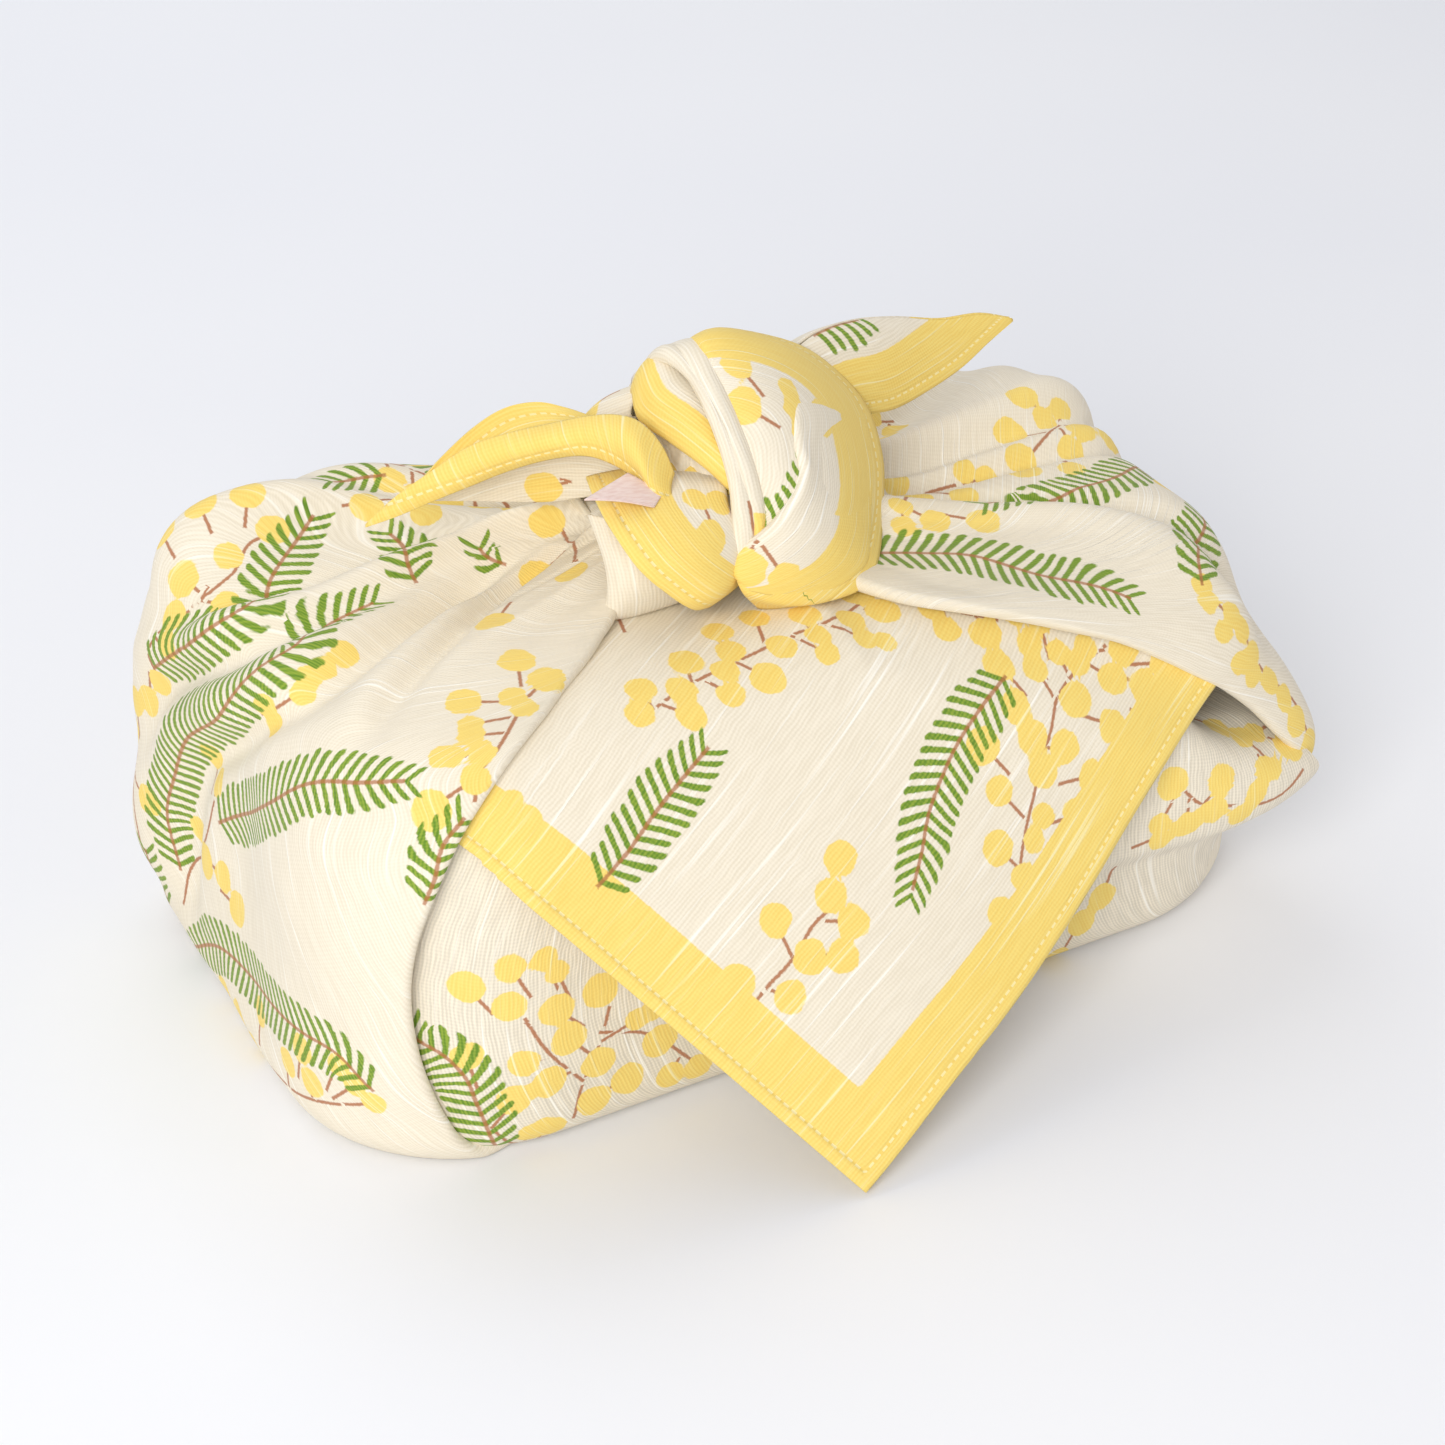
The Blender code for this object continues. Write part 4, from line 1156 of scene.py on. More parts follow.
        },
    },
    "right_end_front": {
        "leaves": {
            "top": ((0.9, 0.0), (1.5, 0.0), (2.1, 0.0)),
        },
        "sprigs": {
        },
    },
}
BACK_LEAVES = (
    ((0.30, 132), (0.42, 127), (0.54, 125)), ((0.66, 112), (0.56, 104), (0.46, 100)),
    ((0.18, 92), (0.26, 82), (0.36, 76)), ((0.62, 78), (0.50, 66), (0.40, 60)),
    ((0.22, 48), (0.34, 44), (0.48, 44)), ((0.72, 50), (0.78, 66), (0.82, 84)),
    ((0.84, 108), (0.76, 122), (0.68, 128)), ((0.56, 18), (0.44, 14), (0.30, 16)),
    ((0.12, 4), (0.24, -6), (0.36, -8)), ((0.10, 118), (0.14, 108), (0.17, 98)),
)
BACK_SPRIGS = (
    ((0.60, 140), (0.44, 138), (0.26, 140)), ((0.36, 120), (0.24, 114), (0.10, 124)),
    ((0.68, 98), (0.60, 88), (0.46, 86)), ((0.38, 96), (0.28, 98), (0.12, 84)),
    ((0.60, 54), (0.68, 62), (0.72, 74)), ((0.14, 62), (0.28, 62), (0.40, 70)),
    ((0.66, 34), (0.54, 32), (0.40, 30)), ((0.30, 30), (0.18, 34), (0.08, 42)),
    ((0.46, 4), (0.34, 2), (0.20, 6)), ((0.10, 20), (0.18, 16), (0.28, 8)),
    ((0.80, 30), (0.84, 44), (0.86, 60)), ((0.70, 132), (0.80, 128), (0.86, 118)),
)
UNDER_LEAVES = (
    ((-80, -30), (-60, -20), (-38, -16)), ((10, 40), (30, 30), (50, 26)),
    ((60, -50), (66, -30), (78, -12)),
)
UNDER_SPRIGS = (
    ((-60, 40), (-40, 30), (-20, 34)), ((-10, -40), (10, -30), (30, -34)),
    ((90, 20), (74, 34), (60, 52)),
)
print("motifs on", ", ".join(PRINT))


# %% [markdown]
# ## From the table to the cloth
#
# The material needs to know, for each point of the cloth, how near the next motif is. So each
# place becomes a point in the room, a smooth line runs through the points of a leaf or stem,
# and every point of the sheet gets its distance to the nearest blossom and its place beside
# the nearest leaf and twig: how far along, how far to the side, and how long the line is. Where
# two lines meet inside a face, all corners of the face use the nearer one, so these values are
# kept for each face corner. Short side twigs run from the stem to each blossom.

# %% Motifs as distances
BLOSSOM_RADIUS, BLOSSOM_VARIES, BLOSSOM_LEAST = 4.1, 0.5, 3.1
LINE_STEP = 1.2
SIDE_TWIG_SLANT = 0.6
SAME_LAYER = 4.0
BLOSSOM_APART, BLOSSOM_ASIDE, BLOSSOM_STRAY, BLOSSOM_CLOSER = 6.5, 6.0, 1.5, 0.62
INSIDE_THE_WRAP = np.array((0, 0, 60.0))
SIDE_TWIG_LONGEST = 9.5
chance = np.random.default_rng(7)


def place_scales(name):
    """About how many millimetres one unit of each of a sheet's two places is."""
    if name.startswith("knot") or "_end_" in name:
        return np.array((9.0, 18.0))
    if name in ("wings_and_back", "front_layer"):
        return np.array((200.0, 1.9))
    return np.array((1.0, 1.0))


def spot(name, place):
    """The point of a sheet, in millimetres, that is nearest to a place."""
    sheet = sheets[name]
    off = (sheet["places"] - np.array(place)) * place_scales(name)
    nearest = np.argmin((off ** 2).sum(-1))
    return 1000 * sheet["points"].reshape(-1, 3)[nearest]


def smooth_line(points):
    """A smooth curve through points, as points about LINE_STEP apart."""
    points = np.array(points)
    if len(points) == 2:
        points = np.stack([points[0], points.mean(0), points[1]])
    length = np.concatenate([[0], np.cumsum(np.linalg.norm(np.diff(points, axis=0), axis=1))])
    at = np.linspace(0, length[-1], max(3, int(length[-1] / LINE_STEP)))
    rows = [(length[i], *points[i]) for i in range(len(points))]
    return np.stack([from_table(rows, at, column) for column in (1, 2, 3)], -1)


def blossoms_beside(stem):
    """Places in millimetres for blossoms on both sides of a stem, and one at its end."""
    found = []
    for i in range(3, len(stem) - 1, max(1, int(BLOSSOM_APART / LINE_STEP * BLOSSOM_CLOSER))):
        ahead = stem[min(i + 1, len(stem) - 1)] - stem[i - 1]
        aside = np.cross(ahead, stem[i] - INSIDE_THE_WRAP)
        aside /= np.linalg.norm(aside) + 1e-9
        side = 1 if len(found) % 2 else -1
        reach = BLOSSOM_ASIDE + chance.uniform(-BLOSSOM_STRAY, BLOSSOM_STRAY)
        found.append(stem[i] + side * aside * reach)
    return found + [stem[-1]]


def side_twig(stem, blossom):
    """A short line to a blossom, from a little way back on the stem or from near it."""
    off = np.linalg.norm(stem - blossom, axis=1)
    nearest = int(np.argmin(off))
    back = max(0, nearest - int(SIDE_TWIG_SLANT * off[nearest] / LINE_STEP))
    length = np.linalg.norm(stem[back] - blossom) + 1e-9
    return smooth_line([blossom + min(1, SIDE_TWIG_LONGEST / length) * (stem[back] - blossom), blossom])


def on_sheet(name, lines):
    """The lines with their points moved onto the sheet, and the sheet's normals there."""
    mesh = sheets[name]["object"].data
    points = 1000 * sheets[name]["points"].reshape(-1, 3)
    samples = np.concatenate(lines)
    nearest, _ = nearest_of(points, samples)
    normals = np.array([mesh.vertices[int(i)].normal for i in nearest])
    samples = samples - ((samples - points[nearest]) * normals).sum(-1, keepdims=True) * normals
    ends = np.cumsum([len(line) for line in lines])[:-1]
    return np.split(samples, ends), normals


def beside_lines(name, points, faces, lines):
    """For each face corner: millimetres along and beside the nearest line, and its length."""
    lines, normals = on_sheet(name, lines)
    samples = np.concatenate(lines)
    owner = np.repeat(np.arange(len(lines)), [len(line) for line in lines])
    steps = [np.concatenate([[0], np.linalg.norm(np.diff(line, axis=0), axis=1)]) for line in lines]
    along = np.concatenate([np.cumsum(step) for step in steps])
    length = np.array([step.sum() for step in steps])[owner]
    ahead = np.concatenate([np.gradient(line, axis=0) for line in lines])
    ahead /= np.linalg.norm(ahead, axis=1, keepdims=True) + 1e-9
    left = np.cross(normals, ahead)
    nearest, away = nearest_of(samples, points)
    line_of_face = owner[nearest][faces][np.arange(len(faces)), np.argmin(away[faces], axis=1)]
    sample = nearest[faces]
    mixed = owner[sample] != line_of_face[:, None]
    for k in np.unique(line_of_face[mixed.any(1)]):
        at = mixed & (line_of_face == k)[:, None]
        own = np.flatnonzero(owner == k)
        off = ((points[faces[at]][:, None] - samples[own][None]) ** 2).sum(-1)
        sample[at] = own[np.argmin(off, axis=1)]
    gap = points[faces] - samples[sample]
    forward = (gap * ahead[sample]).sum(-1)
    aside = (gap * left[sample]).sum(-1)
    above = np.sqrt(np.maximum((gap ** 2).sum(-1) - forward ** 2 - aside ** 2, 0))
    beyond = np.maximum(above - SAME_LAYER, 0)
    aside = np.where(aside < 0, -1, 1) * np.sqrt(aside ** 2 + beyond ** 2)
    return np.stack([along[sample] + forward, aside, length[sample]], -1)


def add_print(name, leaves, stems, blossoms):
    """Stores the motifs on a sheet's mesh. All three are lists of points in millimetres."""
    mesh = sheets[name]["object"].data
    points = 1000 * sheets[name]["points"].reshape(-1, 3)
    faces = np.array([polygon.vertices for polygon in mesh.polygons])
    if blossoms:
        blossoms = on_sheet(name, [np.array(blossoms)])[0][0]
        nearest, away = nearest_of(blossoms, points)
        apart = np.linalg.norm(blossoms[:, None] - blossoms[None], axis=-1) + 99 * np.eye(len(blossoms))
        radii = BLOSSOM_RADIUS + BLOSSOM_VARIES * chance.uniform(-1, 1, len(blossoms))
        radii = np.clip(0.5 * apart.min(1) + 0.1, BLOSSOM_LEAST, radii)
        mesh.attributes.new("blossom", "FLOAT", "POINT").data.foreach_set(
            "value", (away - radii[nearest]).astype(np.float32))
    for attribute, lines in (("leaf", leaves), ("twig", stems)):
        if lines:
            beside = beside_lines(name, points, faces, lines)
            mesh.attributes.new(attribute, "FLOAT_VECTOR", "CORNER").data.foreach_set(
                "vector", beside.ravel().astype(np.float32))
    print(f"{name}: {len(leaves)} leaves, {len(blossoms)} blossoms, {len(stems)} stems and side twigs")


for name in sheets:
    groups = PRINT.get(name, {"leaves": {}, "sprigs": {}})
    leaf_lines = [smooth_line([spot(name, place) for place in line]) for line in groups["leaves"].values()]
    stem_lines, blossoms = [], []
    for stem, places in groups["sprigs"].values():
        stem_lines.append(smooth_line([spot(name, place) for place in stem]))
        found = [spot(name, place) for place in places]
        blossoms += found
        stem_lines += [side_twig(stem_lines[-1], blossom) for blossom in found]
    more_leaves, more_sprigs = {
        "wings_and_back": (BACK_LEAVES, BACK_SPRIGS),
        "underside": (UNDER_LEAVES, UNDER_SPRIGS),
    }.get(name, ((), ()))
    leaf_lines += [smooth_line([spot(name, place) for place in line]) for line in more_leaves]
    for stem in more_sprigs:
        line = smooth_line([spot(name, place) for place in stem])
        found = blossoms_beside(line)
        blossoms += found
        stem_lines += [line] + [side_twig(line, blossom) for blossom in found[:-1]]
    add_print(name, leaf_lines, stem_lines, blossoms)


# %% [markdown]
# ## Colours and nodes
#
# Colours are given as one would pick them on a screen, as sRGB hex values, and made linear by
# one function. A second function adds a node with its settings and its links and gives back
# one of its outputs, because the material below has many small nodes.

# %% Two helpers for materials
MATH = "ShaderNodeMath"
MIX = "ShaderNodeMix"
MIX_UNDER, MIX_OVER, MIX_RESULT = 6, 7, 2   # the colour sockets of a Mix node


def linear(colour):
    """A linear RGBA colour from an sRGB hex value."""
    parts = [int(colour[i:i + 2], 16) / 255 for i in (1, 3, 5)]
    return [p / 12.92 if p <= 0.04045 else ((p + 0.055) / 1.055) ** 2.4 for p in parts] + [1.0]


def node(tree, kind, inputs, out=0, **settings):
    """Adds a node and returns its output. inputs are values or sockets, by name or number."""
    made = tree.nodes.new(kind)
    for setting, value in settings.items():
        setattr(made, setting, value)
    for socket, value in inputs.items():
        if isinstance(value, bpy.types.NodeSocket):
            tree.links.new(value, made.inputs[socket])
        else:
            made.inputs[socket].default_value = value
    return made.outputs[out]


# %% [markdown]
# ## The weave of slub cotton
#
# Slub cotton is a thin plain weave whose yarns are thick in places. That gives fine ribs, and
# brighter streaks along one direction. The real threads are 0.6 mm apart, too fine for the
# picture, so they are drawn 0.9 mm apart. The patterns stand on each sheet's own threads, in
# millimetres, so they follow every fold.

# %% Weave
RIB_SPACING, RIB_WANDER = 0.9, 2.0
SLUB_WIDTH, SLUB_LENGTH = 1.1, 60.0
YARN_WIDTH, YARN_LENGTH = 0.7, 10.0
GAP_FROM, GAP_TO, SLUB_FROM, SLUB_TO = 0.74, 0.26, 0.59, 0.72


def weave(tree, woven, parts):
    """How deep one looks between the yarns, from 0 to 1, and where a yarn is thick."""
    wander = node(tree, "ShaderNodeTexNoise", {"Vector": woven, "Scale": 0.1, "Detail": 2.0})
    across = node(tree, MATH, {0: wander, 1: RIB_WANDER, 2: parts[0]}, operation="MULTIPLY_ADD")
    turn = node(tree, MATH, {0: across, 1: 2 * math.pi / RIB_SPACING}, operation="MULTIPLY")
    rib = node(tree, MATH, {0: turn}, operation="SINE")
    turn = node(tree, MATH, {0: parts[1], 1: 2 * math.pi / RIB_SPACING}, operation="MULTIPLY")
    weft = node(tree, MATH, {0: turn}, operation="SINE")
    place = node(tree, "ShaderNodeMapping", {
        "Vector": woven, "Scale": (1 / YARN_WIDTH, 1 / YARN_LENGTH, 0.0),
    })
    yarn = node(tree, "ShaderNodeTexNoise", {"Vector": place, "Scale": 1.0, "Detail": 2.0})
    thread = node(tree, MATH, {0: rib, 1: 0.20, 2: yarn}, operation="MULTIPLY_ADD")
    thread = node(tree, MATH, {0: weft, 1: 0.08, 2: thread}, operation="MULTIPLY_ADD")
    gap = node(tree, "ShaderNodeMapRange", {"Value": thread, "From Min": GAP_FROM, "From Max": GAP_TO})
    place = node(tree, "ShaderNodeMapping", {
        "Vector": woven, "Scale": (1 / SLUB_WIDTH, 1 / SLUB_LENGTH, 0.0),
    })
    thick = node(tree, "ShaderNodeTexNoise", {"Vector": place, "Scale": 1.0, "Detail": 1.5})
    slub = node(tree, "ShaderNodeMapRange", {"Value": thick, "From Min": SLUB_FROM, "From Max": SLUB_TO})
    return thread, gap, slub


# %% [markdown]
# ## The print's shapes
#
# A blossom is where the distance to its middle is small enough. A line is where the place
# beside it is. A leaf is a row of leaflets on both sides of its spine: bars with round ends
# that lean towards the tip, stand 3.1 mm apart, and grow shorter at the foot and at the tip,
# where they lean more. All are measured in millimetres, so each shape has its real size.

# %% Blossoms, lines and leaves
LEAFLET_SPACING, LEAFLET_HALF, LEAFLET_REACH = 3.1, 0.62, 6.7
LEAFLET_LEAN, LEAFLET_LEAN_AT_TIP = 0.50, 1.0
LEAFLET_SQUEEZE, LEAFLET_SWELL = 0.88, 0.02
CUT_STEEPNESS, CUT_AT_FOOT, CUT_PAST_TIP = 20.0, 0.2, 1.2
SPINE_HALF, TWIG_HALF = 0.46, 0.42


def outside_line(tree, parts, half):
    """Millimetres outside a line of a half width that starts at its foot and ends at its tip."""
    side = node(tree, MATH, {0: parts[1]}, operation="ABSOLUTE")
    beside = node(tree, MATH, {0: side, 1: half}, operation="SUBTRACT")
    before = node(tree, MATH, {0: 0.0, 1: parts[0]}, operation="SUBTRACT")
    past = node(tree, MATH, {0: parts[0], 1: parts[2]}, operation="SUBTRACT")
    ends = node(tree, MATH, {0: before, 1: past}, operation="MAXIMUM")
    return node(tree, MATH, {0: beside, 1: ends}, operation="MAXIMUM")


def outside_leaflets(tree, parts):
    """Millimetres outside the leaflets of a leaf."""
    side = node(tree, MATH, {0: parts[1]}, operation="ABSOLUTE")
    to_tip = node(tree, MATH, {0: parts[2], 1: parts[0]}, operation="SUBTRACT")
    lean = node(tree, "ShaderNodeMapRange", {
        "Value": to_tip, "From Min": -2.0, "From Max": 12.0,
        "To Min": LEAFLET_LEAN_AT_TIP, "To Max": LEAFLET_LEAN,
    })
    back = node(tree, MATH, {0: side, 1: lean}, operation="MULTIPLY")
    root = node(tree, MATH, {0: parts[0], 1: back}, operation="SUBTRACT")
    count = node(tree, MATH, {0: root, 1: LEAFLET_SPACING}, operation="DIVIDE")
    number = node(tree, MATH, {0: count}, operation="FLOOR")
    middle = node(tree, MATH, {0: number, 1: 0.5}, operation="ADD")
    off = node(tree, MATH, {0: count, 1: middle}, operation="SUBTRACT")
    off = node(tree, MATH, {0: off, 1: LEAFLET_SPACING * LEAFLET_SQUEEZE}, operation="MULTIPLY")
    root = node(tree, MATH, {0: middle, 1: LEAFLET_SPACING}, operation="MULTIPLY")
    foot = node(tree, "ShaderNodeMapRange", {
        "Value": root, "From Min": -2.0, "From Max": 9.0, "To Min": 0.66, "To Max": 1.0,
    })
    to_tip = node(tree, MATH, {0: parts[2], 1: root}, operation="SUBTRACT")
    tip = node(tree, "ShaderNodeMapRange", {
        "Value": to_tip, "From Min": -1.0, "From Max": 17.0, "To Min": 0.42, "To Max": 1.0,
    })
    uneven = node(tree, "ShaderNodeTexWhiteNoise", {"W": number}, noise_dimensions="1D")
    uneven = node(tree, MATH, {0: uneven, 1: 0.9, 2: LEAFLET_REACH - 0.45}, operation="MULTIPLY_ADD")
    reach = node(tree, MATH, {0: foot, 1: tip}, operation="MULTIPLY")
    reach = node(tree, MATH, {0: reach, 1: uneven}, operation="MULTIPLY")
    beyond = node(tree, MATH, {0: side, 1: reach}, operation="SUBTRACT")
    beyond = node(tree, MATH, {0: beyond, 1: 0.0}, operation="MAXIMUM")
    off = node(tree, MATH, {0: off, 1: off}, operation="MULTIPLY")
    off = node(tree, MATH, {0: beyond, 1: beyond, 2: off}, operation="MULTIPLY_ADD")
    off = node(tree, MATH, {0: off}, operation="SQRT")
    half = node(tree, MATH, {0: side, 1: LEAFLET_SWELL, 2: LEAFLET_HALF}, operation="MULTIPLY_ADD")
    off = node(tree, MATH, {0: off, 1: half}, operation="SUBTRACT")
    # Steep, so that a leaflet is either whole or left out
    before = node(tree, MATH, {
        0: root, 1: -CUT_STEEPNESS, 2: CUT_STEEPNESS * CUT_AT_FOOT,
    }, operation="MULTIPLY_ADD")
    past = node(tree, MATH, {
        0: to_tip, 1: -CUT_STEEPNESS, 2: -CUT_STEEPNESS * CUT_PAST_TIP,
    }, operation="MULTIPLY_ADD")
    ends = node(tree, MATH, {0: before, 1: past}, operation="MAXIMUM")
    return node(tree, MATH, {0: off, 1: ends}, operation="MAXIMUM")


# %% [markdown]
# ## Printed slub cotton
#
# The border and the motifs are printed in flat ink, through which the ribs still show, and the
# ink's edges are a little rough because it creeps along the yarns. The hem is folded twice and
# stitched 3.3 mm from the edge, with stitches of 2.4 mm. Cotton is dull, so its roughness is
# high, with a little sheen from the fibres. The single layer in front lies over the dark of the
# box and in the shade under the flap, so that layer gets a deeper, greyer gap colour: partly the
# box showing through, partly painted shade.

# %% Cotton
# The single front layer's gap colour is deeper and greyer: partly the box showing through, partly painted
# shade under the flap.
COTTON_CREAM, COTTON_SLUB, COTTON_GAP, COTTON_GAP_SHEER_AND_SHADE = "#F1E7D2", "#FBF6E9", "#D6C9AE", "#B3AA97"
# The deep yellow is the ink between the yarns, and also painted shade in the hollow of the hem's seam.
INK_YELLOW, INK_YELLOW_SLUB, INK_YELLOW_GAP_AND_SHADE = "#F6DB7C", "#FCF0B8", "#ECC45A"
INK_GREEN, INK_GREEN_GAP = "#8FA63C", "#64882B"
INK_BROWN = "#AE6C42"
BORDER_WIDTH, HEM_WIDTH, STITCH_LENGTH = 17.0, 3.3, 2.4
STITCH_SHARE, STITCH_HALF = 0.62, 0.3
INK_SOFT, INK_CREEP = 0.16, 0.5
# The second share is for the single front layer, whose gap colour is partly painted shade.
GAP_SHARE, GAP_SHARE_SHEER_AND_SHADE = 0.45, 0.42
NO_MOTIF = 50.0


def printed_cotton(name, gap_colour, gap_share):
    """The cotton, with the colour between its yarns and how much of it shows."""
    cotton = bpy.data.materials.new(name)
    cotton.use_nodes = True
    tree = cotton.node_tree
    shader = tree.nodes["Principled BSDF"]
    sheet, blossom, twig, leaf = (tree.nodes.new("ShaderNodeAttribute") for _ in range(4))
    numbers = []
    for attribute, key in ((sheet, "woven"), (blossom, "blossom"), (twig, "twig"), (leaf, "leaf")):
        attribute.attribute_name = key
        split = tree.nodes.new("ShaderNodeSeparateXYZ")
        tree.links.new(attribute.outputs["Vector"], split.inputs[0])
        numbers.append(split.outputs)
    place, _, beside_twig, beside_leaf = numbers
    woven = sheet.outputs["Vector"]
    thread, gap, slub = weave(tree, woven, place)

    # The unprinted cotton, and the two inks that let it show
    share = node(tree, MATH, {0: gap, 1: gap_share}, operation="MULTIPLY")
    cream = node(tree, MIX, {
        0: share, MIX_UNDER: linear(COTTON_CREAM), MIX_OVER: linear(gap_colour),
    }, MIX_RESULT, data_type="RGBA")
    cream = node(tree, MIX, {
        0: slub, MIX_UNDER: cream, MIX_OVER: linear(COTTON_SLUB),
    }, MIX_RESULT, data_type="RGBA")
    share = node(tree, MATH, {0: gap, 1: 0.5}, operation="MULTIPLY")
    yellow = node(tree, MIX, {
        0: share, MIX_UNDER: linear(INK_YELLOW), MIX_OVER: linear(INK_YELLOW_GAP_AND_SHADE),
    }, MIX_RESULT, data_type="RGBA")
    thick = node(tree, MATH, {0: slub, 1: 0.85}, operation="MULTIPLY")
    yellow = node(tree, MIX, {
        0: thick, MIX_UNDER: yellow, MIX_OVER: linear(INK_YELLOW_SLUB),
    }, MIX_RESULT, data_type="RGBA")
    green = node(tree, MIX, {
        0: gap, MIX_UNDER: linear(INK_GREEN), MIX_OVER: linear(INK_GREEN_GAP),
    }, MIX_RESULT, data_type="RGBA")

    # How far outside each printed shape a point is
    border = node(tree, MATH, {0: place[2], 1: BORDER_WIDTH}, operation="SUBTRACT")
    none = node(tree, MATH, {0: blossom.outputs["Fac"], 1: 0.0, 2: 1e-6}, operation="COMPARE")
    blossoms = node(tree, MATH, {0: none, 1: NO_MOTIF, 2: blossom.outputs["Fac"]}, operation="MULTIPLY_ADD")
    uneven = node(tree, "ShaderNodeTexNoise", {"Vector": woven, "Scale": 0.17, "Detail": 1.0})
    uneven = node(tree, MATH, {0: uneven, 1: 0.5}, operation="SUBTRACT")
    blossoms = node(tree, MATH, {0: uneven, 1: 2.0, 2: blossoms}, operation="MULTIPLY_ADD")
    twigs = outside_line(tree, beside_twig, TWIG_HALF)
    leaflets = outside_leaflets(tree, beside_leaf)
    spines = outside_line(tree, beside_leaf, SPINE_HALF)

    # The inks, one over the other
    creep = node(tree, "ShaderNodeTexNoise", {"Vector": woven, "Scale": 1.1, "Detail": 1.0})
    creep = node(tree, MATH, {0: creep, 1: INK_CREEP, 2: -INK_CREEP / 2}, operation="MULTIPLY_ADD")
    colour = cream
    for outside, length, ink, strength in (
        (twigs, beside_twig[2], linear(INK_BROWN), 0.9),
        (border, None, yellow, 1.0),
        (blossoms, None, yellow, 1.0),
        (leaflets, beside_leaf[2], green, 1.0),
        (spines, beside_leaf[2], linear(INK_BROWN), 0.8),
    ):
        outside = node(tree, MATH, {0: outside, 1: creep}, operation="ADD")
        share = node(tree, "ShaderNodeMapRange", {
            "Value": outside, "From Min": -INK_SOFT, "From Max": INK_SOFT, "To Min": strength, "To Max": 0.0,
        })
        if length:
            there = node(tree, MATH, {0: length, 1: 0.5}, operation="GREATER_THAN")
            share = node(tree, MATH, {0: share, 1: there}, operation="MULTIPLY")
        colour = node(tree, MIX, {0: share, MIX_UNDER: colour, MIX_OVER: ink}, MIX_RESULT, data_type="RGBA")

    # The hem's seam and its stitches, with painted shade in the seam's hollow
    edge = place[2]
    seam = node(tree, MATH, {0: edge, 1: HEM_WIDTH}, operation="SUBTRACT")
    seam = node(tree, MATH, {0: seam}, operation="ABSOLUTE")
    run = node(tree, MATH, {0: place[0], 1: place[1]}, operation="ADD")
    run = node(tree, MATH, {0: run, 1: edge}, operation="SUBTRACT")
    run = node(tree, MATH, {0: run, 1: 1 / STITCH_LENGTH}, operation="MULTIPLY")
    run = node(tree, MATH, {0: run}, operation="FRACT")
    stitch = node(tree, MATH, {0: run, 1: STITCH_SHARE}, operation="LESS_THAN")
    on_seam = node(tree, MATH, {0: seam, 1: STITCH_HALF}, operation="LESS_THAN")
    stitch = node(tree, MATH, {0: stitch, 1: on_seam}, operation="MULTIPLY")
    seam_groove_and_shade = node(tree, "ShaderNodeMapRange", {
        "Value": seam, "From Min": 0.15, "From Max": 0.9, "To Min": 1.0, "To Max": 0.0,
    })
    # Painted shade: the hollow of the seam is darkened towards the deep yellow.
    share = node(tree, MATH, {0: seam_groove_and_shade, 1: 0.30}, operation="MULTIPLY")
    colour = node(tree, MIX, {
        0: share, MIX_UNDER: colour, MIX_OVER: linear(INK_YELLOW_GAP_AND_SHADE),
    }, MIX_RESULT, data_type="RGBA")
    share = node(tree, MATH, {0: stitch, 1: 0.7}, operation="MULTIPLY")
    colour = node(tree, MIX, {
        0: share, MIX_UNDER: colour, MIX_OVER: linear(INK_YELLOW_SLUB),
    }, MIX_RESULT, data_type="RGBA")
    tree.links.new(colour, shader.inputs["Base Color"])
    shader.inputs["Roughness"].default_value = 0.88
    shader.inputs["Sheen Weight"].default_value = 0.12
    shader.inputs["Sheen Roughness"].default_value = 0.5
    shader.inputs["Specular IOR Level"].default_value = 0.25

    # Relief in millimetres: yarns, slubs, the doubled hem and its seam
    relief = node(tree, MATH, {0: thread, 1: 0.10}, operation="MULTIPLY")
    relief = node(tree, MATH, {0: slub, 1: 0.10, 2: relief}, operation="MULTIPLY_ADD")
    hem = node(tree, "ShaderNodeMapRange", {
        "Value": edge, "From Min": HEM_WIDTH - 0.3, "From Max": HEM_WIDTH + 0.5,
        "To Min": 0.35, "To Max": 0.0,
    })
    relief = node(tree, MATH, {0: relief, 1: hem}, operation="ADD")
    relief = node(tree, MATH, {0: seam_groove_and_shade, 1: -0.22, 2: relief}, operation="MULTIPLY_ADD")
    normal = node(tree, "ShaderNodeBump", {"Height": relief, "Strength": 0.8, "Distance": 0.001})
    tree.links.new(normal, shader.inputs["Normal"])
    return cotton


cotton = printed_cotton("printed slub cotton", COTTON_GAP, GAP_SHARE)
# The single front layer's cotton, with partly painted shade in its gap colour.
single_cotton_sheer_and_shade = printed_cotton(
    "printed slub cotton in one layer with painted shade", COTTON_GAP_SHEER_AND_SHADE, GAP_SHARE_SHEER_AND_SHADE)
print(len(cotton.node_tree.nodes), "nodes in the cotton")


# %% [markdown]
# ## Satin ribbon
#
# The label is a woven polyester ribbon with a fine satin face: smoother than the cotton, with
# a soft gloss. Satin threads lie 0.25 mm apart, drawn 0.6 mm apart so that they show, and the
# weave makes it a little cloudy.

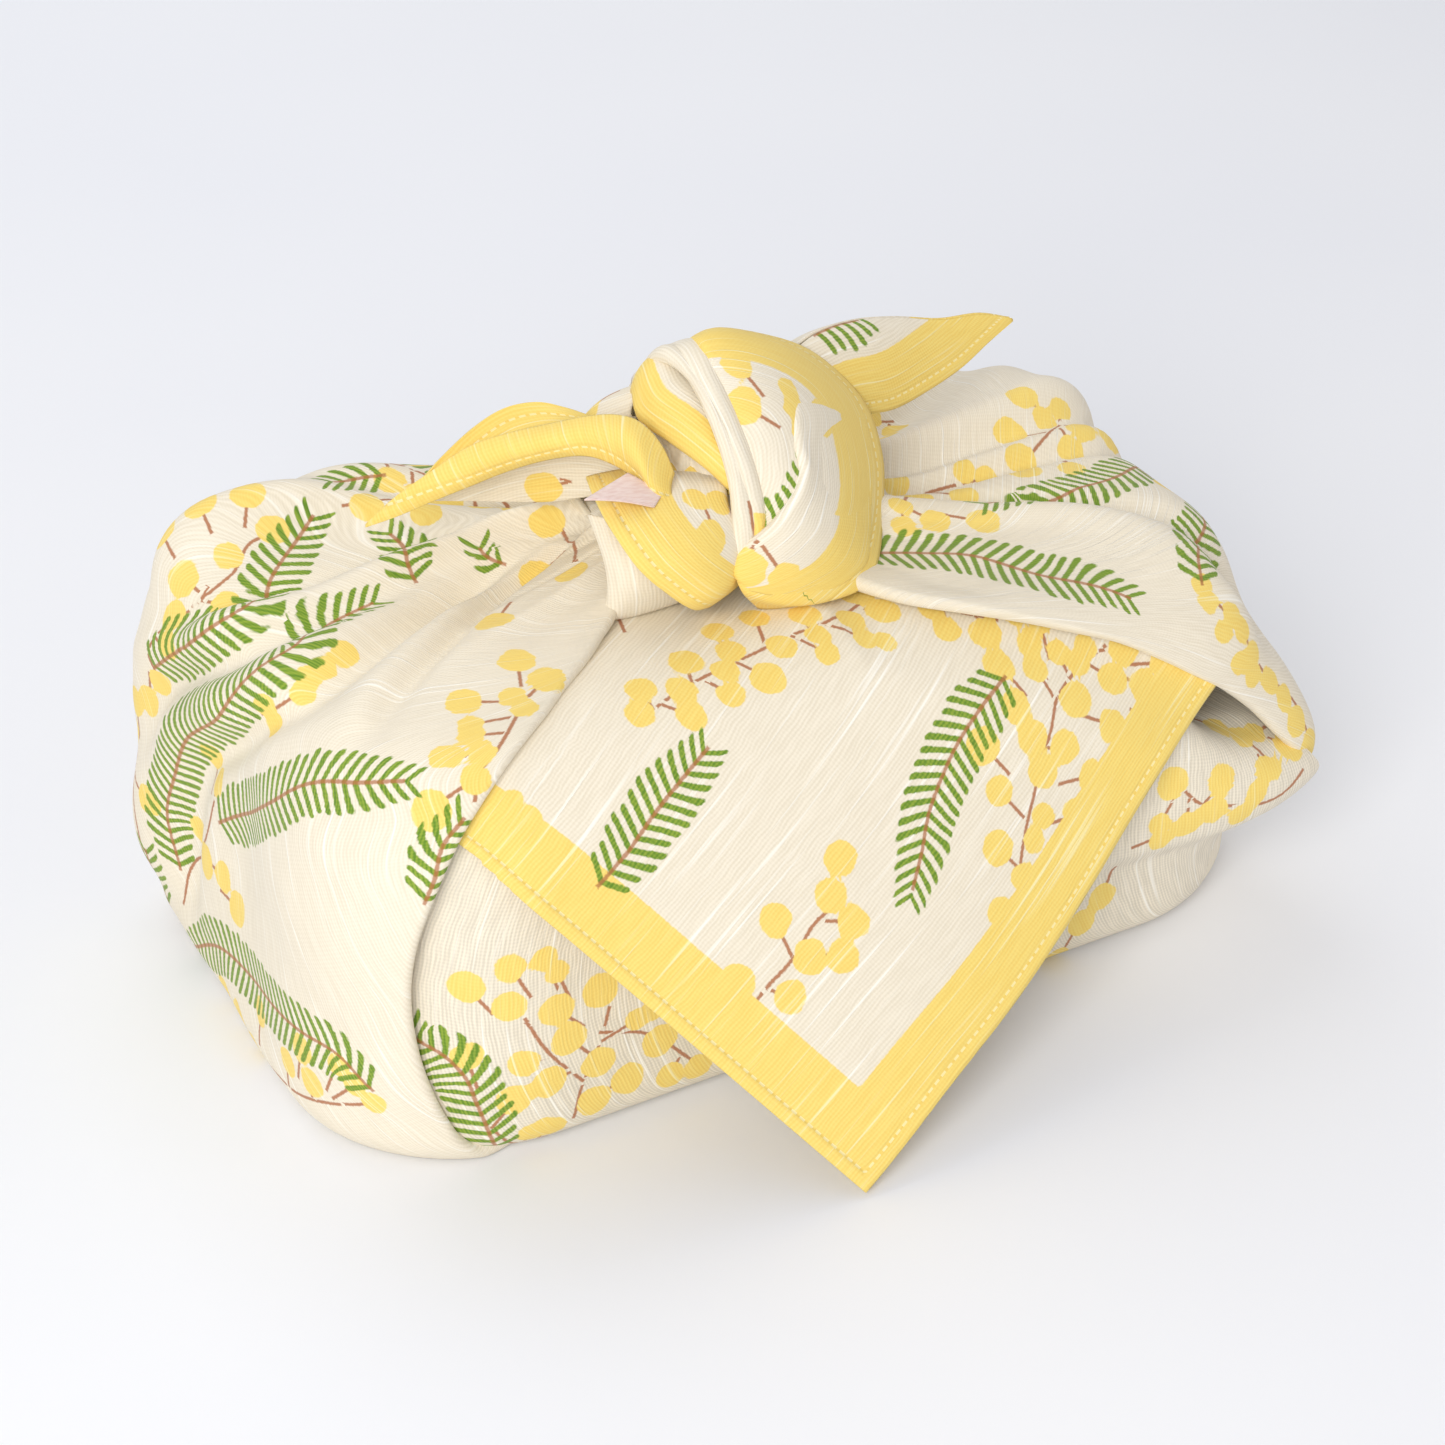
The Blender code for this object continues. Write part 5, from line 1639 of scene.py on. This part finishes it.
# %% Ribbon
RIBBON_PINK, RIBBON_CLOUD = "#F3DDD5", "#E4C3B8"
SATIN_SPACING = 0.6
ribbon = bpy.data.materials.new("woven satin ribbon")
ribbon.use_nodes = True
tree = ribbon.node_tree
shader = tree.nodes["Principled BSDF"]
woven = node(tree, "ShaderNodeAttribute", {}, "Vector", attribute_name="woven")
across = node(tree, "ShaderNodeSeparateXYZ", {0: woven}, 1)
turn = node(tree, MATH, {0: across, 1: 2 * math.pi / SATIN_SPACING}, operation="MULTIPLY")
satin = node(tree, MATH, {0: turn}, operation="SINE")
cloudy = node(tree, "ShaderNodeTexNoise", {"Vector": woven, "Scale": 0.8, "Detail": 3.0})
share = node(tree, MATH, {0: satin, 1: 0.10, 2: cloudy}, operation="MULTIPLY_ADD")
share = node(tree, "ShaderNodeMapRange", {"Value": share, "From Min": 0.35, "From Max": 0.75})
pink = node(tree, MIX, {
    0: share, MIX_UNDER: linear(RIBBON_PINK), MIX_OVER: linear(RIBBON_CLOUD),
}, MIX_RESULT, data_type="RGBA")
tree.links.new(pink, shader.inputs["Base Color"])
shader.inputs["Roughness"].default_value = 0.45
shader.inputs["Sheen Weight"].default_value = 0.2
normal = node(tree, "ShaderNodeBump", {"Height": satin, "Strength": 0.25, "Distance": 0.0002})
tree.links.new(normal, shader.inputs["Normal"])
print("ribbon done")


# %% [markdown]
# ## Finishing the pieces
#
# Solidify turns the sheets whose edges show into cloth with a thickness. The others lie on
# the box, and nobody sees their edges. Every piece then rides on the solid's one body and
# stands for the solid's node, because the pieces together are one cloth.

# %% Thickness, materials and the body
# Pieces that neither table names are declared as folded and resting on the flap, also those
# that only the knot holds up
for name, sheet in sheets.items():
    piece = sheet["object"]
    label = name == "blank_label"
    if sheet["thickness"]:
        solidify = piece.modifiers.new("thickness", "SOLIDIFY")
        solidify.thickness = sheet["thickness"]
        solidify.offset = 0.0
    # The front layer gets the cotton with partly painted shade.
    piece.data.materials.append(ribbon if label else single_cotton_sheer_and_shade if name == "front_layer" else cotton)
    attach(piece, "root")
    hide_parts("label" if label else "cloth")
heart.data.materials.append(cotton)
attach(heart, "root")
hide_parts("cloth")


# %% [markdown]
# ## The studio
#
# The wrap stands on a wide flat sheet of white paper, whose edge the camera doesn't see. A
# large soft lamp hangs at the left, in front and above. It makes the left front nearly white
# and leaves the right side in gentle shade. A weaker one fills from the right, and a third
# lights the paper behind the wrap.

# %% Floor, world and lamps
# The paper's second tone is darker and cooler, the paper further back as it lies in shade: painted shade.
PAPER_WHITE, PAPER_SHADE_TONE = "#F6F6F6", "#EDEEF2"
WORLD_COLOUR, WORLD_STRENGTH = "#F1F3FA", 0.60
FLOOR_SIZE = 6.0
bpy.ops.object.select_all(action="DESELECT")
bpy.ops.mesh.primitive_plane_add(size=FLOOR_SIZE, location=(0, 0, 0))
floor = bpy.context.active_object
floor.name = "paper_floor"
paper = bpy.data.materials.new("matt white paper")
paper.use_nodes = True
tree = paper.node_tree
where = node(tree, "ShaderNodeTexCoord", {}, "Object")
# Painted shade: large soft noise patches mix the darker tone into the paper's white.
paper_shade_patches = node(tree, "ShaderNodeTexNoise", {"Vector": where, "Scale": 3.0, "Detail": 2.0})
white = node(tree, MIX, {
    0: paper_shade_patches, MIX_UNDER: linear(PAPER_WHITE), MIX_OVER: linear(PAPER_SHADE_TONE),
}, MIX_RESULT, data_type="RGBA")
tree.links.new(white, tree.nodes["Principled BSDF"].inputs["Base Color"])
tree.nodes["Principled BSDF"].inputs["Roughness"].default_value = 0.9
floor.data.materials.append(paper)

world = bpy.data.worlds.new("studio")
world.use_nodes = True
world.node_tree.nodes["Background"].inputs["Color"].default_value = linear(WORLD_COLOUR)
world.node_tree.nodes["Background"].inputs["Strength"].default_value = WORLD_STRENGTH
bpy.context.scene.world = world
# Place, aim, width, power and colour
LAMPS = {
    "key": ((-0.95, -0.95, 0.85), (0, 0, 0.05), 0.7, 14.5, "#FFFEFC"),
    "fill": ((1.10, -0.50, 0.70), (0, 0, 0.05), 1.0, 1.2, "#FFEBD0"),
    "background": ((0.0, 0.85, 1.10), (0, 0.70, 0), 1.0, 4.5, "#FAFCFF"),
}
for name, (place, aim, width, power, colour) in LAMPS.items():
    lamp = bpy.data.objects.new(name, bpy.data.lights.new(name, "AREA"))
    bpy.context.scene.collection.objects.link(lamp)
    lamp.location = place
    lamp.rotation_euler = (Vector(aim) - lamp.location).to_track_quat("-Z", "Y").to_euler()
    lamp.data.size = width
    lamp.data.energy = power
    lamp.data.color = linear(colour)[:3]
print("lamps:", ", ".join(LAMPS))
